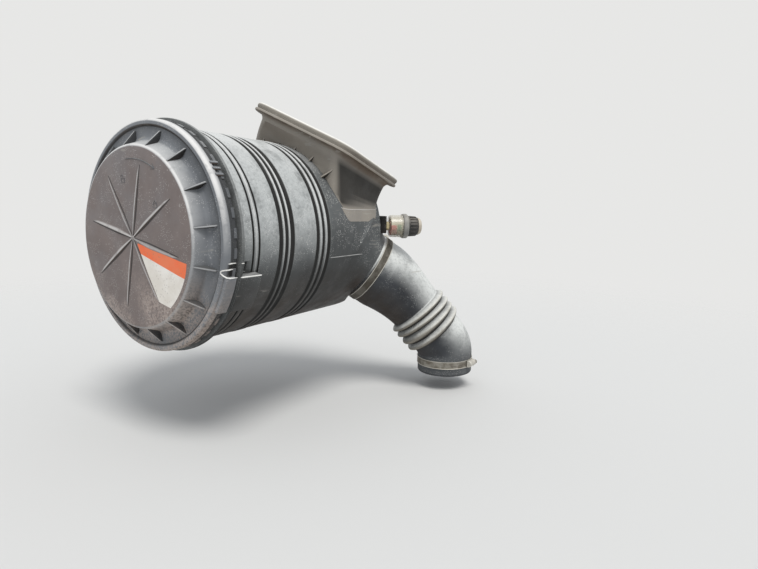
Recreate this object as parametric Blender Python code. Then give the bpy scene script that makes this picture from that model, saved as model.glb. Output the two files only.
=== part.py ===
"""Engine air cleaner of a school bus, in metres, +Z up.

The canister lies across the bus: its axis runs along X, the service cover faces -X, the
body wall (cowl) is on the +Y side and the front of the bus is towards -Y. The origin is the
middle of the bracket's face that bolts to the cowl. Inside this file the pieces are written
in the canister's own frame, whose X is the station along the axis, counted from the cover's
face, and whose Y and Z are measured from the axis.
"""
import math

import bmesh
import bpy
from mathutils import Matrix, Vector

MM = 0.001
GAP = 0.3 * MM              # between pieces that touch
RUN_FIT = 0.5 * MM          # between the turning cover and what guides it
SEGMENTS = 56               # round the canister

# Housing shell
WALL = 3.5 * MM
SHELL_R = 160.5 * MM        # shell just behind the ring; the other radii follow it
SHELL_TAPER = 0.029         # radius lost for each metre of length
SHELL_END = 398 * MM
END_ROUND = 6 * MM
CAVITY_ROUND = 16 * MM      # thicker corner inside, where the outlet leaves
COLLAR_STEP = 2 * MM
COLLAR_R = SHELL_R - COLLAR_STEP        # front collar that the cover turns on
COLLAR_START = 30 * MM
RING_RISE = 9.5 * MM
RING_R = SHELL_R + RING_RISE            # flange behind the cover
RING_START = 48 * MM
RING_THICK = 4.5 * MM
GROOVE_DEPTH = 2.0 * MM
GROOVE_FLOOR = 1.2 * MM     # wall left under the grooves, beyond the plain wall's inner face
# station of each groove's middle, its width
GROOVES = [(77.3, 3.4), (88.5, 3.4),
           (132.2, 7.4), (144.4, 6.0), (156.9, 8.4),
           (216.0, 7.2), (229.8, 5.6), (243.6, 7.2)]
PART_LINE_ANGLE = -13.0     # degrees, the mould's parting ridge
PART_LINE_START = 252 * MM
PART_LINE_RISE = 1.2 * MM

# Bayonet between housing and cover
BAYONETS = 6
BAYONET_FIRST = 15.0        # degrees
HOOK_ARC = 14.0
LUG_ARC = 12.0
HOOK_START = COLLAR_START + 3.5 * MM
BAYONET_THICK = 4.0 * MM
HOOK_RISE = 3.2 * MM
LUG_RISE = 3.2 * MM
COVER_TWIST = 20.0          # degrees that the cover turns to unlock

# Locking pad moulded on the ring, its half on the cover, and the window above it
PAD_FROM, PAD_TO = -34.0, -15.5
PAD_END = 87 * MM
PAD_RISE = 1.5 * MM         # above the ring
PAD_SINK = 6 * MM
WINDOW_FROM, WINDOW_TO = -14.5, -9.5
WINDOW_START, WINDOW_END = 54 * MM, 66 * MM
WINDOW_DEPTH = 2.2 * MM

# Cover
SKIRT_R = RING_R - 3.5 * MM
SKIRT_WALL = 3.5 * MM
SKIRT_GAP = 5 * MM          # cover skirt to housing ring
BAND_STEP = 1.2 * MM        # the skirt's plain band lies below its fat rim
RIM_WIDTH = 9 * MM
FLANGE_STATION = 23.7 * MM
FLANGE_EDGE_R = SKIRT_R - 9 * MM
FLANGE_WIDTH = 20.5 * MM
FLANGE_ROOT_R = FLANGE_EDGE_R - FLANGE_WIDTH
VALLEY_DEPTH = 2 * MM       # between flange and rim
FACE_R = FLANGE_ROOT_R - 7.6 * MM
FACE_THICK = 3.0 * MM
FACE_ROUND = 4 * MM
PILOT_WALL = 3.0 * MM
PILOT_LENGTH = 10 * MM      # inside the collar
PILOT_END = COLLAR_START + PILOT_LENGTH
SPOKES = 8
SPOKE_FIRST = -12.0
SPOKE_MARGIN = 31.4 * MM    # spoke ends to the face's rim
SPOKE_WIDTH = 7 * MM
SPOKE_TIP_WIDTH = 4.3 * MM
SPOKE_RISE = 1.6 * MM
HUB_R = 5 * MM
HUB_ROOM = 7 * MM           # hub to the spokes' inner ends
GUSSETS = 16
GUSSET_FIRST = 8.5
GUSSET_THICK = 3 * MM
GUSSET_REACH = 17 * MM
GRIP_ANGLES = (38.2, 35.0, 31.8)
GRIP_RISE = 2.0 * MM
GRIP_WIDTH = 3.0 * MM

# Air inlet duct: its foot on the canister, its mouth against the bonnet's duct
DUCT_WALL = 3.0 * MM
DUCT_START = 273 * MM
DUCT_END = SHELL_END - END_ROUND
DUCT_BACK_Y = 55 * MM
FOOT_DROP = 10.5 * MM
DUCT_BACK_Z = SHELL_R - FOOT_DROP       # height of the foot outline at the back wall
DUCT_FRONT_ANGLE = 12.5     # degrees above the front, where the front wall meets the shell
FOOT_CORNER_R = 20 * MM
FOOT_SWEEP_R = 30 * MM      # the foot's large corner, front and nearest the cover
FOOT_SINK = 20 * MM         # how far the outline goes down before the shell cuts it off
FOOT_BAND = 11 * MM         # raised band round the foot: its height and how far it stands out
FOOT_BAND_RISE = 2.2 * MM
INLET_MARGIN = 4 * MM       # the housing's hole lies inside the duct's wall by this
SEAL_R = 5.5 * MM
SEAL_BASE = 4 * MM          # half width of the seal's foot
SEAL_ANGLES = (-30, 10, 42, 68, 112, 138, 170, 210)     # degrees; the widest step is the flat top
MOUTH_SHIFT_X = 40 * MM     # the mouth's back corner nearest the cover, from the foot's
MOUTH_SHIFT_Y = 41 * MM
MOUTH_RISE = 71.5 * MM
MOUTH_CORNER = Vector((DUCT_START - MOUTH_SHIFT_X, DUCT_BACK_Y - MOUTH_SHIFT_Y, SHELL_R + MOUTH_RISE))
MOUTH_SPREAD = 89 * MM
MOUTH_WIDTH = DUCT_END - DUCT_START + MOUTH_SPREAD
MOUTH_REACH = 45.5 * MM
MOUTH_LENGTH = SHELL_R + MOUTH_REACH    # on the cover side
MOUTH_SLANT = 29 * MM       # more than that on the far side
MOUTH_SKEW = 34 * MM        # the cover side's front corner lies this much further from the cover
MOUTH_PITCH = 21.5          # degrees down towards the front
MOUTH_ROLL = 17.4           # degrees down away from the cover
MOUTH_CORNER_R = 34 * MM
FLANGE_OVERHANG = 15 * MM
FLANGE_THICK = 4.5 * MM
FLARE_HEIGHT = 10 * MM      # the wall turns outwards over this height to meet the flange
FLARE_REACH = 6 * MM
WALL_STEPS = (0.35, 0.7)    # shares of the height at which the duct's wall bends
WALL_BEND = 1.8             # the wall stands up first and leans out later
DUCT_GUSSET_ANGLES = (94.0, 80.0, 66.0, 52.0, 38.0)
DUCT_GUSSET_RISE = 20 * MM
DUCT_GUSSET_REACH = 12 * MM
DUCT_GUSSET_THICK = 3 * MM

# Outlet: a cone moulded on the canister's lower front rear corner, then the rubber hose
OUTLET_PAST = 19 * MM       # beyond the canister's end
OUTLET_DEPTH_Y = 66.5 * MM  # in from the canister's front and up from its bottom
OUTLET_DEPTH_Z = 100.5 * MM
OUTLET_POINT = Vector((SHELL_END + OUTLET_PAST, OUTLET_DEPTH_Y - SHELL_R, OUTLET_DEPTH_Z - SHELL_R))
OUTLET_AXIS = Vector((0.62, -0.56, -0.55)).normalized()
SPIGOT_R = 61.5 * MM
SPIGOT_LIP_R = SPIGOT_R + 6.5 * MM
SPIGOT_END = 45 * MM
LIP_THICK = 4 * MM
OUTLET_SPREAD = 36 * MM
OUTLET_CONE_R = SPIGOT_LIP_R + OUTLET_SPREAD
OUTLET_CONE_BACK = -44 * MM
OUTLET_ROOT = -100 * MM     # inside the canister
CONE_SEGMENTS = 48
HOSE_ROOM = 1.5 * MM        # clear of the canister's corner beside the lip
HOSE_WALL = 4.5 * MM
HOSE_START = LIP_THICK + MM
HOSE_TUBE_R = SPIGOT_R - 9 * MM
HOSE_END_R = HOSE_TUBE_R + MM
BELLOWS_R = HOSE_TUBE_R + 9.5 * MM
BELLOWS_FOLDS = 4
BELLOWS_PITCH = 15 * MM
BELLOWS_SHIFT = Vector((0.086, -0.092, -0.112))
BELLOWS_MIDDLE = OUTLET_POINT + BELLOWS_SHIFT
BELLOWS_AXIS = Vector((0.36, -0.52, -0.775)).normalized()
HOSE_SHIFT = Vector((0.115, -0.124, -0.214))
HOSE_END = OUTLET_POINT + HOSE_SHIFT
ENGINE_AXIS = Vector((0.02, 0, -1)).normalized()
ENGINE_COLLAR = 36 * MM     # straight end of the hose on the engine's pipe
HOSE_SEGMENTS = 32
LINE_STEPS = 80             # points of each span of the middle line

# Hose clamps
CUFF_CLAMP = 16 * MM        # from the lip's plane to the middle of the band
CUFF_SCREW_ANGLE = -25.0    # degrees round the hose
ENGINE_CLAMP = 22 * MM      # from the hose's end
ENGINE_SCREW_ANGLE = 90.0
BAND_WIDTH = 14 * MM
BAND_THICK = 1.2 * MM
SCREW_HOUSING_LENGTH = 22 * MM
SCREW_HOUSING_HEIGHT = 9 * MM
SCREW_R = 3.1 * MM
SCREW_HEIGHT = 5 * MM       # from the band to the screw's axis
SCREW_HEAD_R = 4.4 * MM
SCREW_HEAD_LENGTH = 5.7 * MM

# Restriction indicator
INDICATOR_PAST = 14.8 * MM  # start of the clear body, beyond the canister's end
INDICATOR_SIDE = SPIGOT_LIP_R - 6 * MM  # in front of the outlet's middle
INDICATOR_RISE = 5.3 * MM   # above the outlet's lip
INDICATOR_POINT = Vector((SHELL_END + INDICATOR_PAST, OUTLET_POINT.y - INDICATOR_SIDE,
                          OUTLET_POINT.z + SPIGOT_LIP_R + INDICATOR_RISE))
INDICATOR_AXIS = Vector((0.72, -0.69, 0.0)).normalized()
INDICATOR_R = 20 * MM
INDICATOR_LENGTH = 24 * MM  # clear body
INDICATOR_RING = 10 * MM
INDICATOR_CAP = 19 * MM
BUTTON_R = 14.5 * MM
BUTTON_LENGTH = 7 * MM
INDICATOR_WALL = 2 * MM
BLOCK_HEIGHT = 31 * MM
BLOCK_DROP = 13 * MM        # below the indicator's axis
BLOCK_SEAT = 17.4 * MM      # width of its slanted face
BLOCK_TAIL = 11 * MM
HEX_R = 8 * MM
HEX_THICK = 6 * MM

# Mounting: feet moulded on the canister, bracket and bolts
FOOT_STATIONS = (125 * MM, 305 * MM)
FOOT_Z = 62 * MM
FOOT_SIZE = 44 * MM
FOOT_DEPTH = 48 * MM
FOOT_FACE = SHELL_R + 11.5 * MM         # from the axis to the feet's faces
BRACKET_REACH = 33 * MM                 # feet's faces to the cowl
BRACKET_THICK = 4 * MM
BRACKET_END = 35 * MM                   # plate beyond the feet's middles, along X
BRACKET_SIDE = 33 * MM                  # and above and below them
BRACKET_LIP = 14 * MM
STAND_OFF_SIZE = 50 * MM
STAND_OFF_HEIGHT = 40 * MM
STUD_HOLE_R = 5.5 * MM
STUD_X, STUD_Z = 60 * MM, 20 * MM
BOLT_R = 5 * MM
BOLT_HEAD_R = 8.5 * MM
BOLT_HEAD_THICK = 6 * MM
BOLT_DEPTH = 16 * MM

# Where the canister sits on the cowl
AXIS_OFFSET = FOOT_FACE + BRACKET_REACH                     # cowl face to canister axis
MOUNT_STATION = sum(FOOT_STATIONS) / len(FOOT_STATIONS)     # cover face to the bracket's middle

# Filter element inside
ELEMENT_ROOM = 54.5 * MM
ELEMENT_R = COLLAR_R - ELEMENT_ROOM
ELEMENT_DEPTH = 44 * MM     # of the pleats
ELEMENT_BORE = ELEMENT_R - ELEMENT_DEPTH
ELEMENT_START = 16 * MM
ELEMENT_CAP = 12 * MM

CUT_PAST = SHELL_R / 16     # cutters reach this far past what they cut


def clear_scene():
    for obj in list(bpy.data.objects):
        bpy.data.objects.remove(obj, do_unlink=True)


def material(name, colour, roughness, metallic=0.0):
    mat = bpy.data.materials.new(name)
    mat.use_nodes = True
    shader = mat.node_tree.nodes["Principled BSDF"]
    shader.inputs["Base Color"].default_value = (*colour, 1.0)
    shader.inputs["Roughness"].default_value = roughness
    shader.inputs["Metallic"].default_value = metallic
    return mat


def finish_mesh(name, bm):
    """Weld, face outwards and hand over as an object that is smooth but for sharp edges."""
    bmesh.ops.remove_doubles(bm, verts=bm.verts, dist=1e-6)
    bmesh.ops.recalc_face_normals(bm, faces=bm.faces)
    mesh = bpy.data.meshes.new(name)
    bm.to_mesh(mesh)
    bm.free()
    mesh.shade_smooth()
    mesh.set_sharp_from_angle(angle=math.radians(35))
    obj = bpy.data.objects.new(name, mesh)
    bpy.context.scene.collection.objects.link(obj)
    return obj


def piece(name, bm, mat, parent):
    obj = finish_mesh(name, bm)
    obj.data.materials.append(mat)
    obj.parent = parent
    return obj


def tool(name, bm, parent):
    """A shape that only cuts or joins another one."""
    obj = finish_mesh(name, bm)
    obj.parent = parent
    obj.hide_render = True
    obj.display_type = "WIRE"
    return obj


def boolean(obj, other, operation):
    mod = obj.modifiers.new(other.name, "BOOLEAN")
    mod.operation = operation
    mod.solver = "EXACT"
    mod.object = other


def radial(angle, radius, station=0.0):
    """A point round the axis; the angle counts from the front (-Y) up towards +Z."""
    a = math.radians(angle)
    return Vector((station, -radius * math.cos(a), radius * math.sin(a)))


def shell_radius(station):
    return SHELL_R - SHELL_TAPER * (station - RING_START - RING_THICK)


def frame_along(axis, origin):
    """Matrix whose local X is the axis, for turned shapes made round X."""
    side = axis.cross(Vector((0, 0, 1))).normalized()
    up = side.cross(axis)
    return Matrix.Translation(origin) @ Matrix((axis, -side, up)).transposed().to_4x4()


def revolve(bm, profile, segments, matrix=None):
    """Turn (station, radius) points round X; a closed loop unless its ends touch the axis."""
    closed = profile[0][1] > 0 or profile[-1][1] > 0
    verts = [bm.verts.new((x, 0, r)) for x, r in profile]
    edges = [bm.edges.new(pair) for pair in zip(verts, verts[1:])]
    if closed:
        edges.append(bm.edges.new((verts[-1], verts[0])))
    made = bmesh.ops.spin(bm, geom=verts + edges, cent=(0, 0, 0), axis=(1, 0, 0),
                          angle=2 * math.pi, steps=segments, use_duplicate=False)
    bmesh.ops.remove_doubles(bm, verts=bm.verts, dist=1e-6)
    if matrix:
        bmesh.ops.transform(bm, matrix=matrix, verts=bm.verts)
    return made


def turned(profile, segments=SEGMENTS, matrix=None):
    bm = bmesh.new()
    revolve(bm, profile, segments, matrix)
    return bm


def join(target, source):
    """Add one bmesh's bodies to another."""
    mesh = bpy.data.meshes.new("joined")
    source.to_mesh(mesh)
    source.free()
    target.from_mesh(mesh)
    bpy.data.meshes.remove(mesh)


def loft(rings, cap=True):
    """Skin rings of equal length into one closed body."""
    bm = bmesh.new()
    rows = [[bm.verts.new(p) for p in ring] for ring in rings]
    count = len(rows[0])
    for lower, upper in zip(rows, rows[1:]):
        for i in range(count):
            j = (i + 1) % count
            bm.faces.new((lower[i], lower[j], upper[j], upper[i]))
    if cap:
        bm.faces.new(list(reversed(rows[0])))
        bm.faces.new(rows[-1])
    else:
        for i in range(count):
            j = (i + 1) % count
            bm.faces.new((rows[-1][i], rows[-1][j], rows[0][j], rows[0][i]))
    return bm


def box(low, high):
    bm = bmesh.new()
    bmesh.ops.create_cube(bm, size=1.0)
    size = Vector(high) - Vector(low)
    bmesh.ops.scale(bm, vec=size, verts=bm.verts)
    bmesh.ops.translate(bm, vec=(Vector(high) + Vector(low)) / 2, verts=bm.verts)
    return bm


def arc_block(r0, r1, x0, x1, a0, a1, step=5.0):
    """A block between two radii, two stations and two angles."""
    count = max(2, math.ceil((a1 - a0) / step) + 1)
    rings = []
    for i in range(count):
        a = a0 + (a1 - a0) * i / (count - 1)
        rings.append([radial(a, r, x) for x, r in ((x0, r0), (x1, r0), (x1, r1), (x0, r1))])
    return loft(rings)


def cylinder(axis, origin, radius, start, end, segments=24):
    profile = [(start, 0), (start, radius), (end, radius), (end, 0)]
    return turned(profile, segments, frame_along(axis, origin))


def hexagon(axis, origin, radius, start, end):
    return cylinder(axis, origin, radius, start, end, 6)


def rounded_quad(corners, radii, steps=5):
    """Points round a convex quadrilateral whose corners are arcs, each of its own radius."""
    points = []
    for i, (corner, radius) in enumerate(zip(corners, radii)):
        before = (corners[i - 1] - corner).normalized()
        after = (corners[(i + 1) % len(corners)] - corner).normalized()
        half = before.angle(after) / 2
        centre = corner + (before + after).normalized() * radius / math.sin(half)
        start = corner + before * radius / math.tan(half) - centre
        stop = corner + after * radius / math.tan(half) - centre
        swing, pivot = start.angle(stop), start.cross(stop)
        for k in range(steps + 1):
            points.append(centre + Matrix.Rotation(swing * k / steps, 3, pivot) @ start)
    return points


# Housing

def shell_profile():
    """Outer outline of the housing, from the collar to the rear plate."""
    ring_end = RING_START + RING_THICK
    outline = [(COLLAR_START, 0), (COLLAR_START, COLLAR_R), (RING_START, COLLAR_R),
               (RING_START, RING_R), (ring_end, RING_R), (ring_end, shell_radius(ring_end))]
    for middle, width in GROOVES:
        middle, half = middle * MM, width * MM / 2
        floor = 0.25 * half
        outline += [(middle - half, shell_radius(middle - half)),
                    (middle - floor, shell_radius(middle) - GROOVE_DEPTH),
                    (middle + floor, shell_radius(middle) - GROOVE_DEPTH),
                    (middle + half, shell_radius(middle + half))]
    rim = shell_radius(SHELL_END)
    outline += [(SHELL_END - END_ROUND, rim), (SHELL_END - 0.3 * END_ROUND, rim - 0.3 * END_ROUND),
                (SHELL_END, rim - END_ROUND), (SHELL_END, 0)]
    return outline


def cavity_profile():
    ring_end = RING_START + RING_THICK
    mouth = COLLAR_R - WALL
    back = SHELL_END - WALL
    inner = GROOVE_DEPTH + GROOVE_FLOOR
    return [(COLLAR_START - CUT_PAST, 0), (COLLAR_START - CUT_PAST, mouth), (ring_end, mouth),
            (ring_end + CUT_PAST, shell_radius(ring_end) - inner - 1.5 * MM),
            (back - CAVITY_ROUND, shell_radius(back) - inner),
            (back, shell_radius(back) - CAVITY_ROUND - inner), (back, 0)]


def mouth_frame():
    pitch, roll = math.radians(MOUTH_PITCH), math.radians(MOUTH_ROLL)
    forward = Vector((0, -math.cos(pitch), -math.sin(pitch)))
    across = Vector((math.cos(roll), 0, 0)) + forward.cross(Vector((1, 0, 0))) * -math.sin(roll)
    normal = across.cross(forward)
    if normal.z < 0:
        normal = -normal
    return forward, across.normalized(), normal.normalized()


def mouth_ring(inset, drop):
    """Rounded outline of the mouth, inset from the seal line and below it."""
    forward, across, normal = mouth_frame()
    a = MOUTH_CORNER
    corners = [a, a + across * MOUTH_WIDTH,
               a + across * MOUTH_WIDTH + forward * (MOUTH_LENGTH + MOUTH_SLANT),
               a + across * MOUTH_SKEW + forward * MOUTH_LENGTH]
    moved = []
    for i, corner in enumerate(corners):
        before = (corners[i - 1] - corner).normalized()
        after = (corners[(i + 1) % 4] - corner).normalized()
        half = before.angle(after) / 2
        moved.append(corner + (before + after).normalized() * inset / math.sin(half))
    ring = rounded_quad(moved, [MOUTH_CORNER_R - 0.6 * inset] * 4)
    return [p - normal * drop for p in ring]


def foot_ring(inset, height):
    """Outline of the duct where it meets the shell, in a plane tilted like the mouth."""
    x0, x1 = DUCT_START + inset, DUCT_END - inset
    near, far = (radial(DUCT_FRONT_ANGLE, shell_radius(x)) for x in (DUCT_START, DUCT_END))
    back = DUCT_BACK_Y - inset
    top, low = height + DUCT_BACK_Z, height + far.z
    corners = [Vector((x0, back, top)), Vector((x1, back, top)),
               Vector((x1, far.y + inset, low)), Vector((x0, near.y + inset, low))]
    small, sweep = FOOT_CORNER_R - 0.6 * inset, FOOT_SWEEP_R - 0.6 * inset
    return rounded_quad(corners, [small, small, small, sweep])


def build_duct_rings(inset):
    under = SEAL_R * 2 + FLANGE_THICK       # from the seal line to the flange's underside
    foot = foot_ring(inset, 0.0)
    neck = mouth_ring(FLANGE_OVERHANG + inset, under + FLARE_HEIGHT)
    rings = [foot_ring(inset, -FOOT_SINK), foot]
    for share in WALL_STEPS:
        lean = share ** WALL_BEND
        rings.append([Vector((*a.xy.lerp(b.xy, lean), a.z + (b.z - a.z) * share)) for a, b in zip(foot, neck)])
    for bend, reach in ((1.0, 0.0), (0.4, 0.3), (0.0, 1.0)):
        rings.append(mouth_ring(FLANGE_OVERHANG - FLARE_REACH * reach + inset, under + FLARE_HEIGHT * bend))
    return rings + [mouth_ring(FLANGE_OVERHANG - FLARE_REACH + inset, under - FLANGE_THICK / 2)]


def outlet_room():
    """The outlet's cone and lip with the gap that neighbours keep to them."""
    gap = 1.3 * GAP                             # square to the axis, a little more along the slope
    wide, narrow, end = OUTLET_CONE_R + gap, SPIGOT_LIP_R + gap, LIP_THICK + GAP
    cone = [(OUTLET_ROOT, 0), (OUTLET_ROOT, wide), (OUTLET_CONE_BACK, wide), (0, narrow), (end, narrow),
            (end, 0)]
    return turned(cone, CONE_SEGMENTS, frame_along(OUTLET_AXIS, OUTLET_POINT))


def make_housing(mat, parent):
    housing = piece("housing", turned(shell_profile()), mat, parent)
    adds = bmesh.new()
    hook_root = COLLAR_R - 0.5 * WALL
    for k in range(BAYONETS):
        a = BAYONET_FIRST + 360 / BAYONETS * k
        join(adds, arc_block(hook_root, COLLAR_R + HOOK_RISE, HOOK_START, HOOK_START + BAYONET_THICK,
                             a - HOOK_ARC / 2, a + HOOK_ARC / 2))
    join(adds, arc_block(SHELL_R - PAD_SINK, RING_R + PAD_RISE, RING_START + MM, PAD_END, PAD_FROM, PAD_TO))
    rings = []
    for x in (PART_LINE_START, SHELL_END - END_ROUND):
        r = shell_radius(x)
        rings.append([radial(PART_LINE_ANGLE - 0.5, r - MM, x), radial(PART_LINE_ANGLE + 0.5, r - MM, x),
                      radial(PART_LINE_ANGLE, r + PART_LINE_RISE, x)])
    join(adds, loft(rings))
    for x in FOOT_STATIONS:
        for side in (-1, 1):
            z = side * FOOT_Z
            join(adds, box((x - FOOT_SIZE / 2, FOOT_FACE - FOOT_DEPTH, z - FOOT_SIZE / 2),
                           (x + FOOT_SIZE / 2, FOOT_FACE, z + FOOT_SIZE / 2)))
    boolean(housing, tool("housing_adds", adds, parent), "UNION")

    out = frame_along(OUTLET_AXIS, OUTLET_POINT)
    room_r = SPIGOT_LIP_R + HOSE_ROOM
    room = [(LIP_THICK - MM, 0), (LIP_THICK - MM, room_r), (SPIGOT_END, room_r + SPIGOT_END),
            (SPIGOT_END, 0)]
    boolean(housing, tool("hose_room", turned(room, 44, out), parent), "DIFFERENCE")
    cone = [(OUTLET_ROOT, 0), (OUTLET_ROOT, OUTLET_CONE_R), (OUTLET_CONE_BACK, OUTLET_CONE_R),
            (0.0, SPIGOT_LIP_R), (LIP_THICK, SPIGOT_LIP_R), (LIP_THICK, SPIGOT_R), (SPIGOT_END, SPIGOT_R),
            (SPIGOT_END, 0)]
    boolean(housing, tool("outlet_cone", turned(cone, CONE_SEGMENTS, out), parent), "UNION")
    half_step = Matrix.Rotation(math.pi / SEGMENTS, 4, "X")     # its facets cross the outer ones
    cavity = turned(cavity_profile(), SEGMENTS, half_step)
    boolean(housing, tool("housing_cavity", cavity, parent), "DIFFERENCE")

    bore_end = SPIGOT_END + CUT_PAST
    bore_root = OUTLET_ROOT + 2 * WALL
    bore_r = OUTLET_CONE_R - 1.5 * WALL
    bore = [(bore_root, 0), (bore_root, bore_r), (OUTLET_CONE_BACK - 2 * MM, bore_r),
            (-LIP_THICK, SPIGOT_R - WALL), (bore_end, SPIGOT_R - WALL), (bore_end, 0)]
    boolean(housing, tool("outlet_bore", turned(bore, 40, out), parent), "DIFFERENCE")
    cuts = bmesh.new()
    hole = DUCT_WALL + INLET_MARGIN
    join(cuts, loft([foot_ring(hole, -FOOT_SINK), foot_ring(hole, SHELL_R / 2)]))
    join(cuts, arc_block(shell_radius(WINDOW_END) - WINDOW_DEPTH, RING_R + CUT_PAST,
                         WINDOW_START, WINDOW_END, WINDOW_FROM, WINDOW_TO))
    for x in FOOT_STATIONS:
        for side in (-1, 1):
            join(cuts, cylinder(Vector((0, 1, 0)), Vector((x, FOOT_FACE, side * FOOT_Z)),
                                BOLT_R + GAP, -BOLT_DEPTH - GAP, CUT_PAST, 12))
    boolean(housing, tool("housing_cuts", cuts, parent), "DIFFERENCE")
    return housing


# Cover

def cover_profile():
    skirt_end = RING_START - SKIRT_GAP
    inner_skirt = SKIRT_R - SKIRT_WALL
    pilot = COLLAR_R - WALL - RUN_FIT
    t = FACE_THICK
    rim = FLANGE_STATION - VALLEY_DEPTH / 2
    return [(0, 0), (0, FACE_R - FACE_ROUND), (0.3 * FACE_ROUND, FACE_R - 0.3 * FACE_ROUND),
            (FACE_ROUND, FACE_R), (FLANGE_STATION + MM, FLANGE_ROOT_R),
            (FLANGE_STATION, FLANGE_EDGE_R - VALLEY_DEPTH),
            (FLANGE_STATION + VALLEY_DEPTH, FLANGE_EDGE_R - 0.5 * MM),
            (rim, FLANGE_EDGE_R + VALLEY_DEPTH), (rim + 0.5 * MM, SKIRT_R - 3 * MM),
            (rim + 3 * MM, SKIRT_R - 0.7 * MM), (rim + 0.6 * RIM_WIDTH, SKIRT_R), (rim + RIM_WIDTH, SKIRT_R),
            (rim + RIM_WIDTH + BAND_STEP, SKIRT_R - BAND_STEP), (skirt_end, SKIRT_R - BAND_STEP),
            (skirt_end, inner_skirt),
            (FLANGE_STATION + 2 * t, inner_skirt), (FLANGE_STATION + 1.6 * t, pilot),
            (PILOT_END, pilot), (PILOT_END, pilot - PILOT_WALL),
            (FLANGE_STATION + t, pilot - PILOT_WALL), (FLANGE_STATION + t, FLANGE_ROOT_R - t),
            (FACE_ROUND + t, FACE_R - t), (t, FACE_R - FACE_ROUND - t), (t, 0)]


def make_cover(mat, parent):
    cover = piece("cover", turned(cover_profile()), mat, parent)
    adds = bmesh.new()
    sink = 0.5 * FACE_THICK
    for k in range(SPOKES):
        a = SPOKE_FIRST + 360 / SPOKES * k
        turn = Matrix.Rotation(-math.radians(a), 4, "X")
        inner, outer = HUB_R + HUB_ROOM, FACE_R - SPOKE_MARGIN
        half0, half1 = SPOKE_TIP_WIDTH / 2, SPOKE_WIDTH / 2
        rings = [[Vector((x, -y, z)) for x, z in ((sink, -h), (sink, h), (-0.2 * MM, h), (-SPOKE_RISE, 0),
                                                 (-0.2 * MM, -h))]
                 for y, h in ((inner, half1), (outer, half0))]
        bm = loft(rings)
        bmesh.ops.transform(bm, matrix=turn, verts=bm.verts)
        join(adds, bm)
    join(adds, cylinder(Vector((1, 0, 0)), Vector(), HUB_R, -SPOKE_RISE, sink, 16))
    root = FLANGE_ROOT_R - 2 * MM
    for k in range(GUSSETS):
        a = GUSSET_FIRST + 360 / GUSSETS * k
        turn = Matrix.Rotation(-math.radians(a), 4, "X")
        top, foot = FACE_ROUND + 2 * MM, FLANGE_STATION + FACE_THICK / 2
        outline = [(top, FACE_R - MM), (top, FACE_R + 2.5 * MM), (foot - FACE_THICK, root + GUSSET_REACH),
                   (foot, root + GUSSET_REACH), (foot, root)]
        rings = [[Vector((x, -r, side * GUSSET_THICK / 2)) for x, r in outline] for side in (-1, 1)]
        bm = loft(rings)
        bmesh.ops.transform(bm, matrix=turn, verts=bm.verts)
        join(adds, bm)
    skirt_end = RING_START - SKIRT_GAP
    inside = SKIRT_R - 0.7 * SKIRT_WALL
    for a in GRIP_ANGLES:
        half = math.degrees(GRIP_WIDTH / SKIRT_R) / 2
        join(adds, arc_block(inside, SKIRT_R + GRIP_RISE, FLANGE_STATION + 7 * MM,
                             skirt_end - MM, a - half, a + half))
    join(adds, arc_block(inside, RING_R + PAD_RISE, FLANGE_STATION + 2 * MM, skirt_end - 0.2 * MM,
                         PAD_FROM, PAD_TO))
    lug_start = HOOK_START + BAYONET_THICK + RUN_FIT
    for k in range(BAYONETS):
        a = BAYONET_FIRST + 360 / BAYONETS * k
        join(adds, arc_block(SKIRT_R - SKIRT_WALL - LUG_RISE, SKIRT_R - 0.5 * SKIRT_WALL, lug_start,
                             lug_start + BAYONET_THICK, a - LUG_ARC / 2, a + LUG_ARC / 2))
    boolean(cover, tool("cover_adds", adds, parent), "UNION")
    return cover


# Inlet duct and its bulb seal

def make_duct(mat, parent):
    duct = piece("inlet_duct", loft(build_duct_rings(0.0)), mat, parent)
    flange = loft([mouth_ring(0.0, SEAL_R * 2 + FLANGE_THICK), mouth_ring(0.0, SEAL_R * 2)])
    boolean(duct, tool("duct_flange", flange, parent), "UNION")
    band = loft([foot_ring(-FOOT_BAND_RISE, -FOOT_SINK + MM), foot_ring(-FOOT_BAND_RISE, FOOT_BAND)])
    boolean(duct, tool("duct_foot_band", band, parent), "UNION")
    ribs = bmesh.new()
    for a in DUCT_GUSSET_ANGLES:
        r = shell_radius(DUCT_START)
        turn = Matrix.Rotation(-math.radians(a), 4, "X")
        root = DUCT_START + DUCT_WALL / 2
        foot = DUCT_START - DUCT_GUSSET_REACH
        outline = [(foot, r - 2 * MM), (root, r - 2 * MM), (root, r + DUCT_GUSSET_RISE),
                   (root - DUCT_WALL, r + DUCT_GUSSET_RISE), (foot, r + MM)]
        rings = [[Vector((x, -out, side * DUCT_GUSSET_THICK / 2)) for x, out in outline]
                 for side in (-1, 1)]
        bm = loft(rings)
        bmesh.ops.transform(bm, matrix=turn, verts=bm.verts)
        join(ribs, bm)
    boolean(duct, tool("duct_ribs", ribs, parent), "UNION")
    ends = (DUCT_START - MOUTH_SHIFT_X - CUT_PAST, SHELL_END + OUTLET_PAST + CUT_PAST)
    clear = [(ends[0], 0), (ends[0], shell_radius(ends[0]) + GAP), (ends[1], shell_radius(ends[1]) + GAP),
             (ends[1], 0)]
    boolean(duct, tool("shell_clearance", turned(clear), parent), "DIFFERENCE")
    boolean(duct, tool("cone_clearance", outlet_room(), parent), "DIFFERENCE")
    inner = [foot_ring(DUCT_WALL, -FOOT_SINK - 1.5 * CUT_PAST)] + build_duct_rings(DUCT_WALL)[1:]
    above = [p + mouth_frame()[2] * CUT_PAST for p in inner[-1]]
    boolean(duct, tool("duct_bore", loft(inner + [above]), parent), "DIFFERENCE")
    return duct


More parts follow.
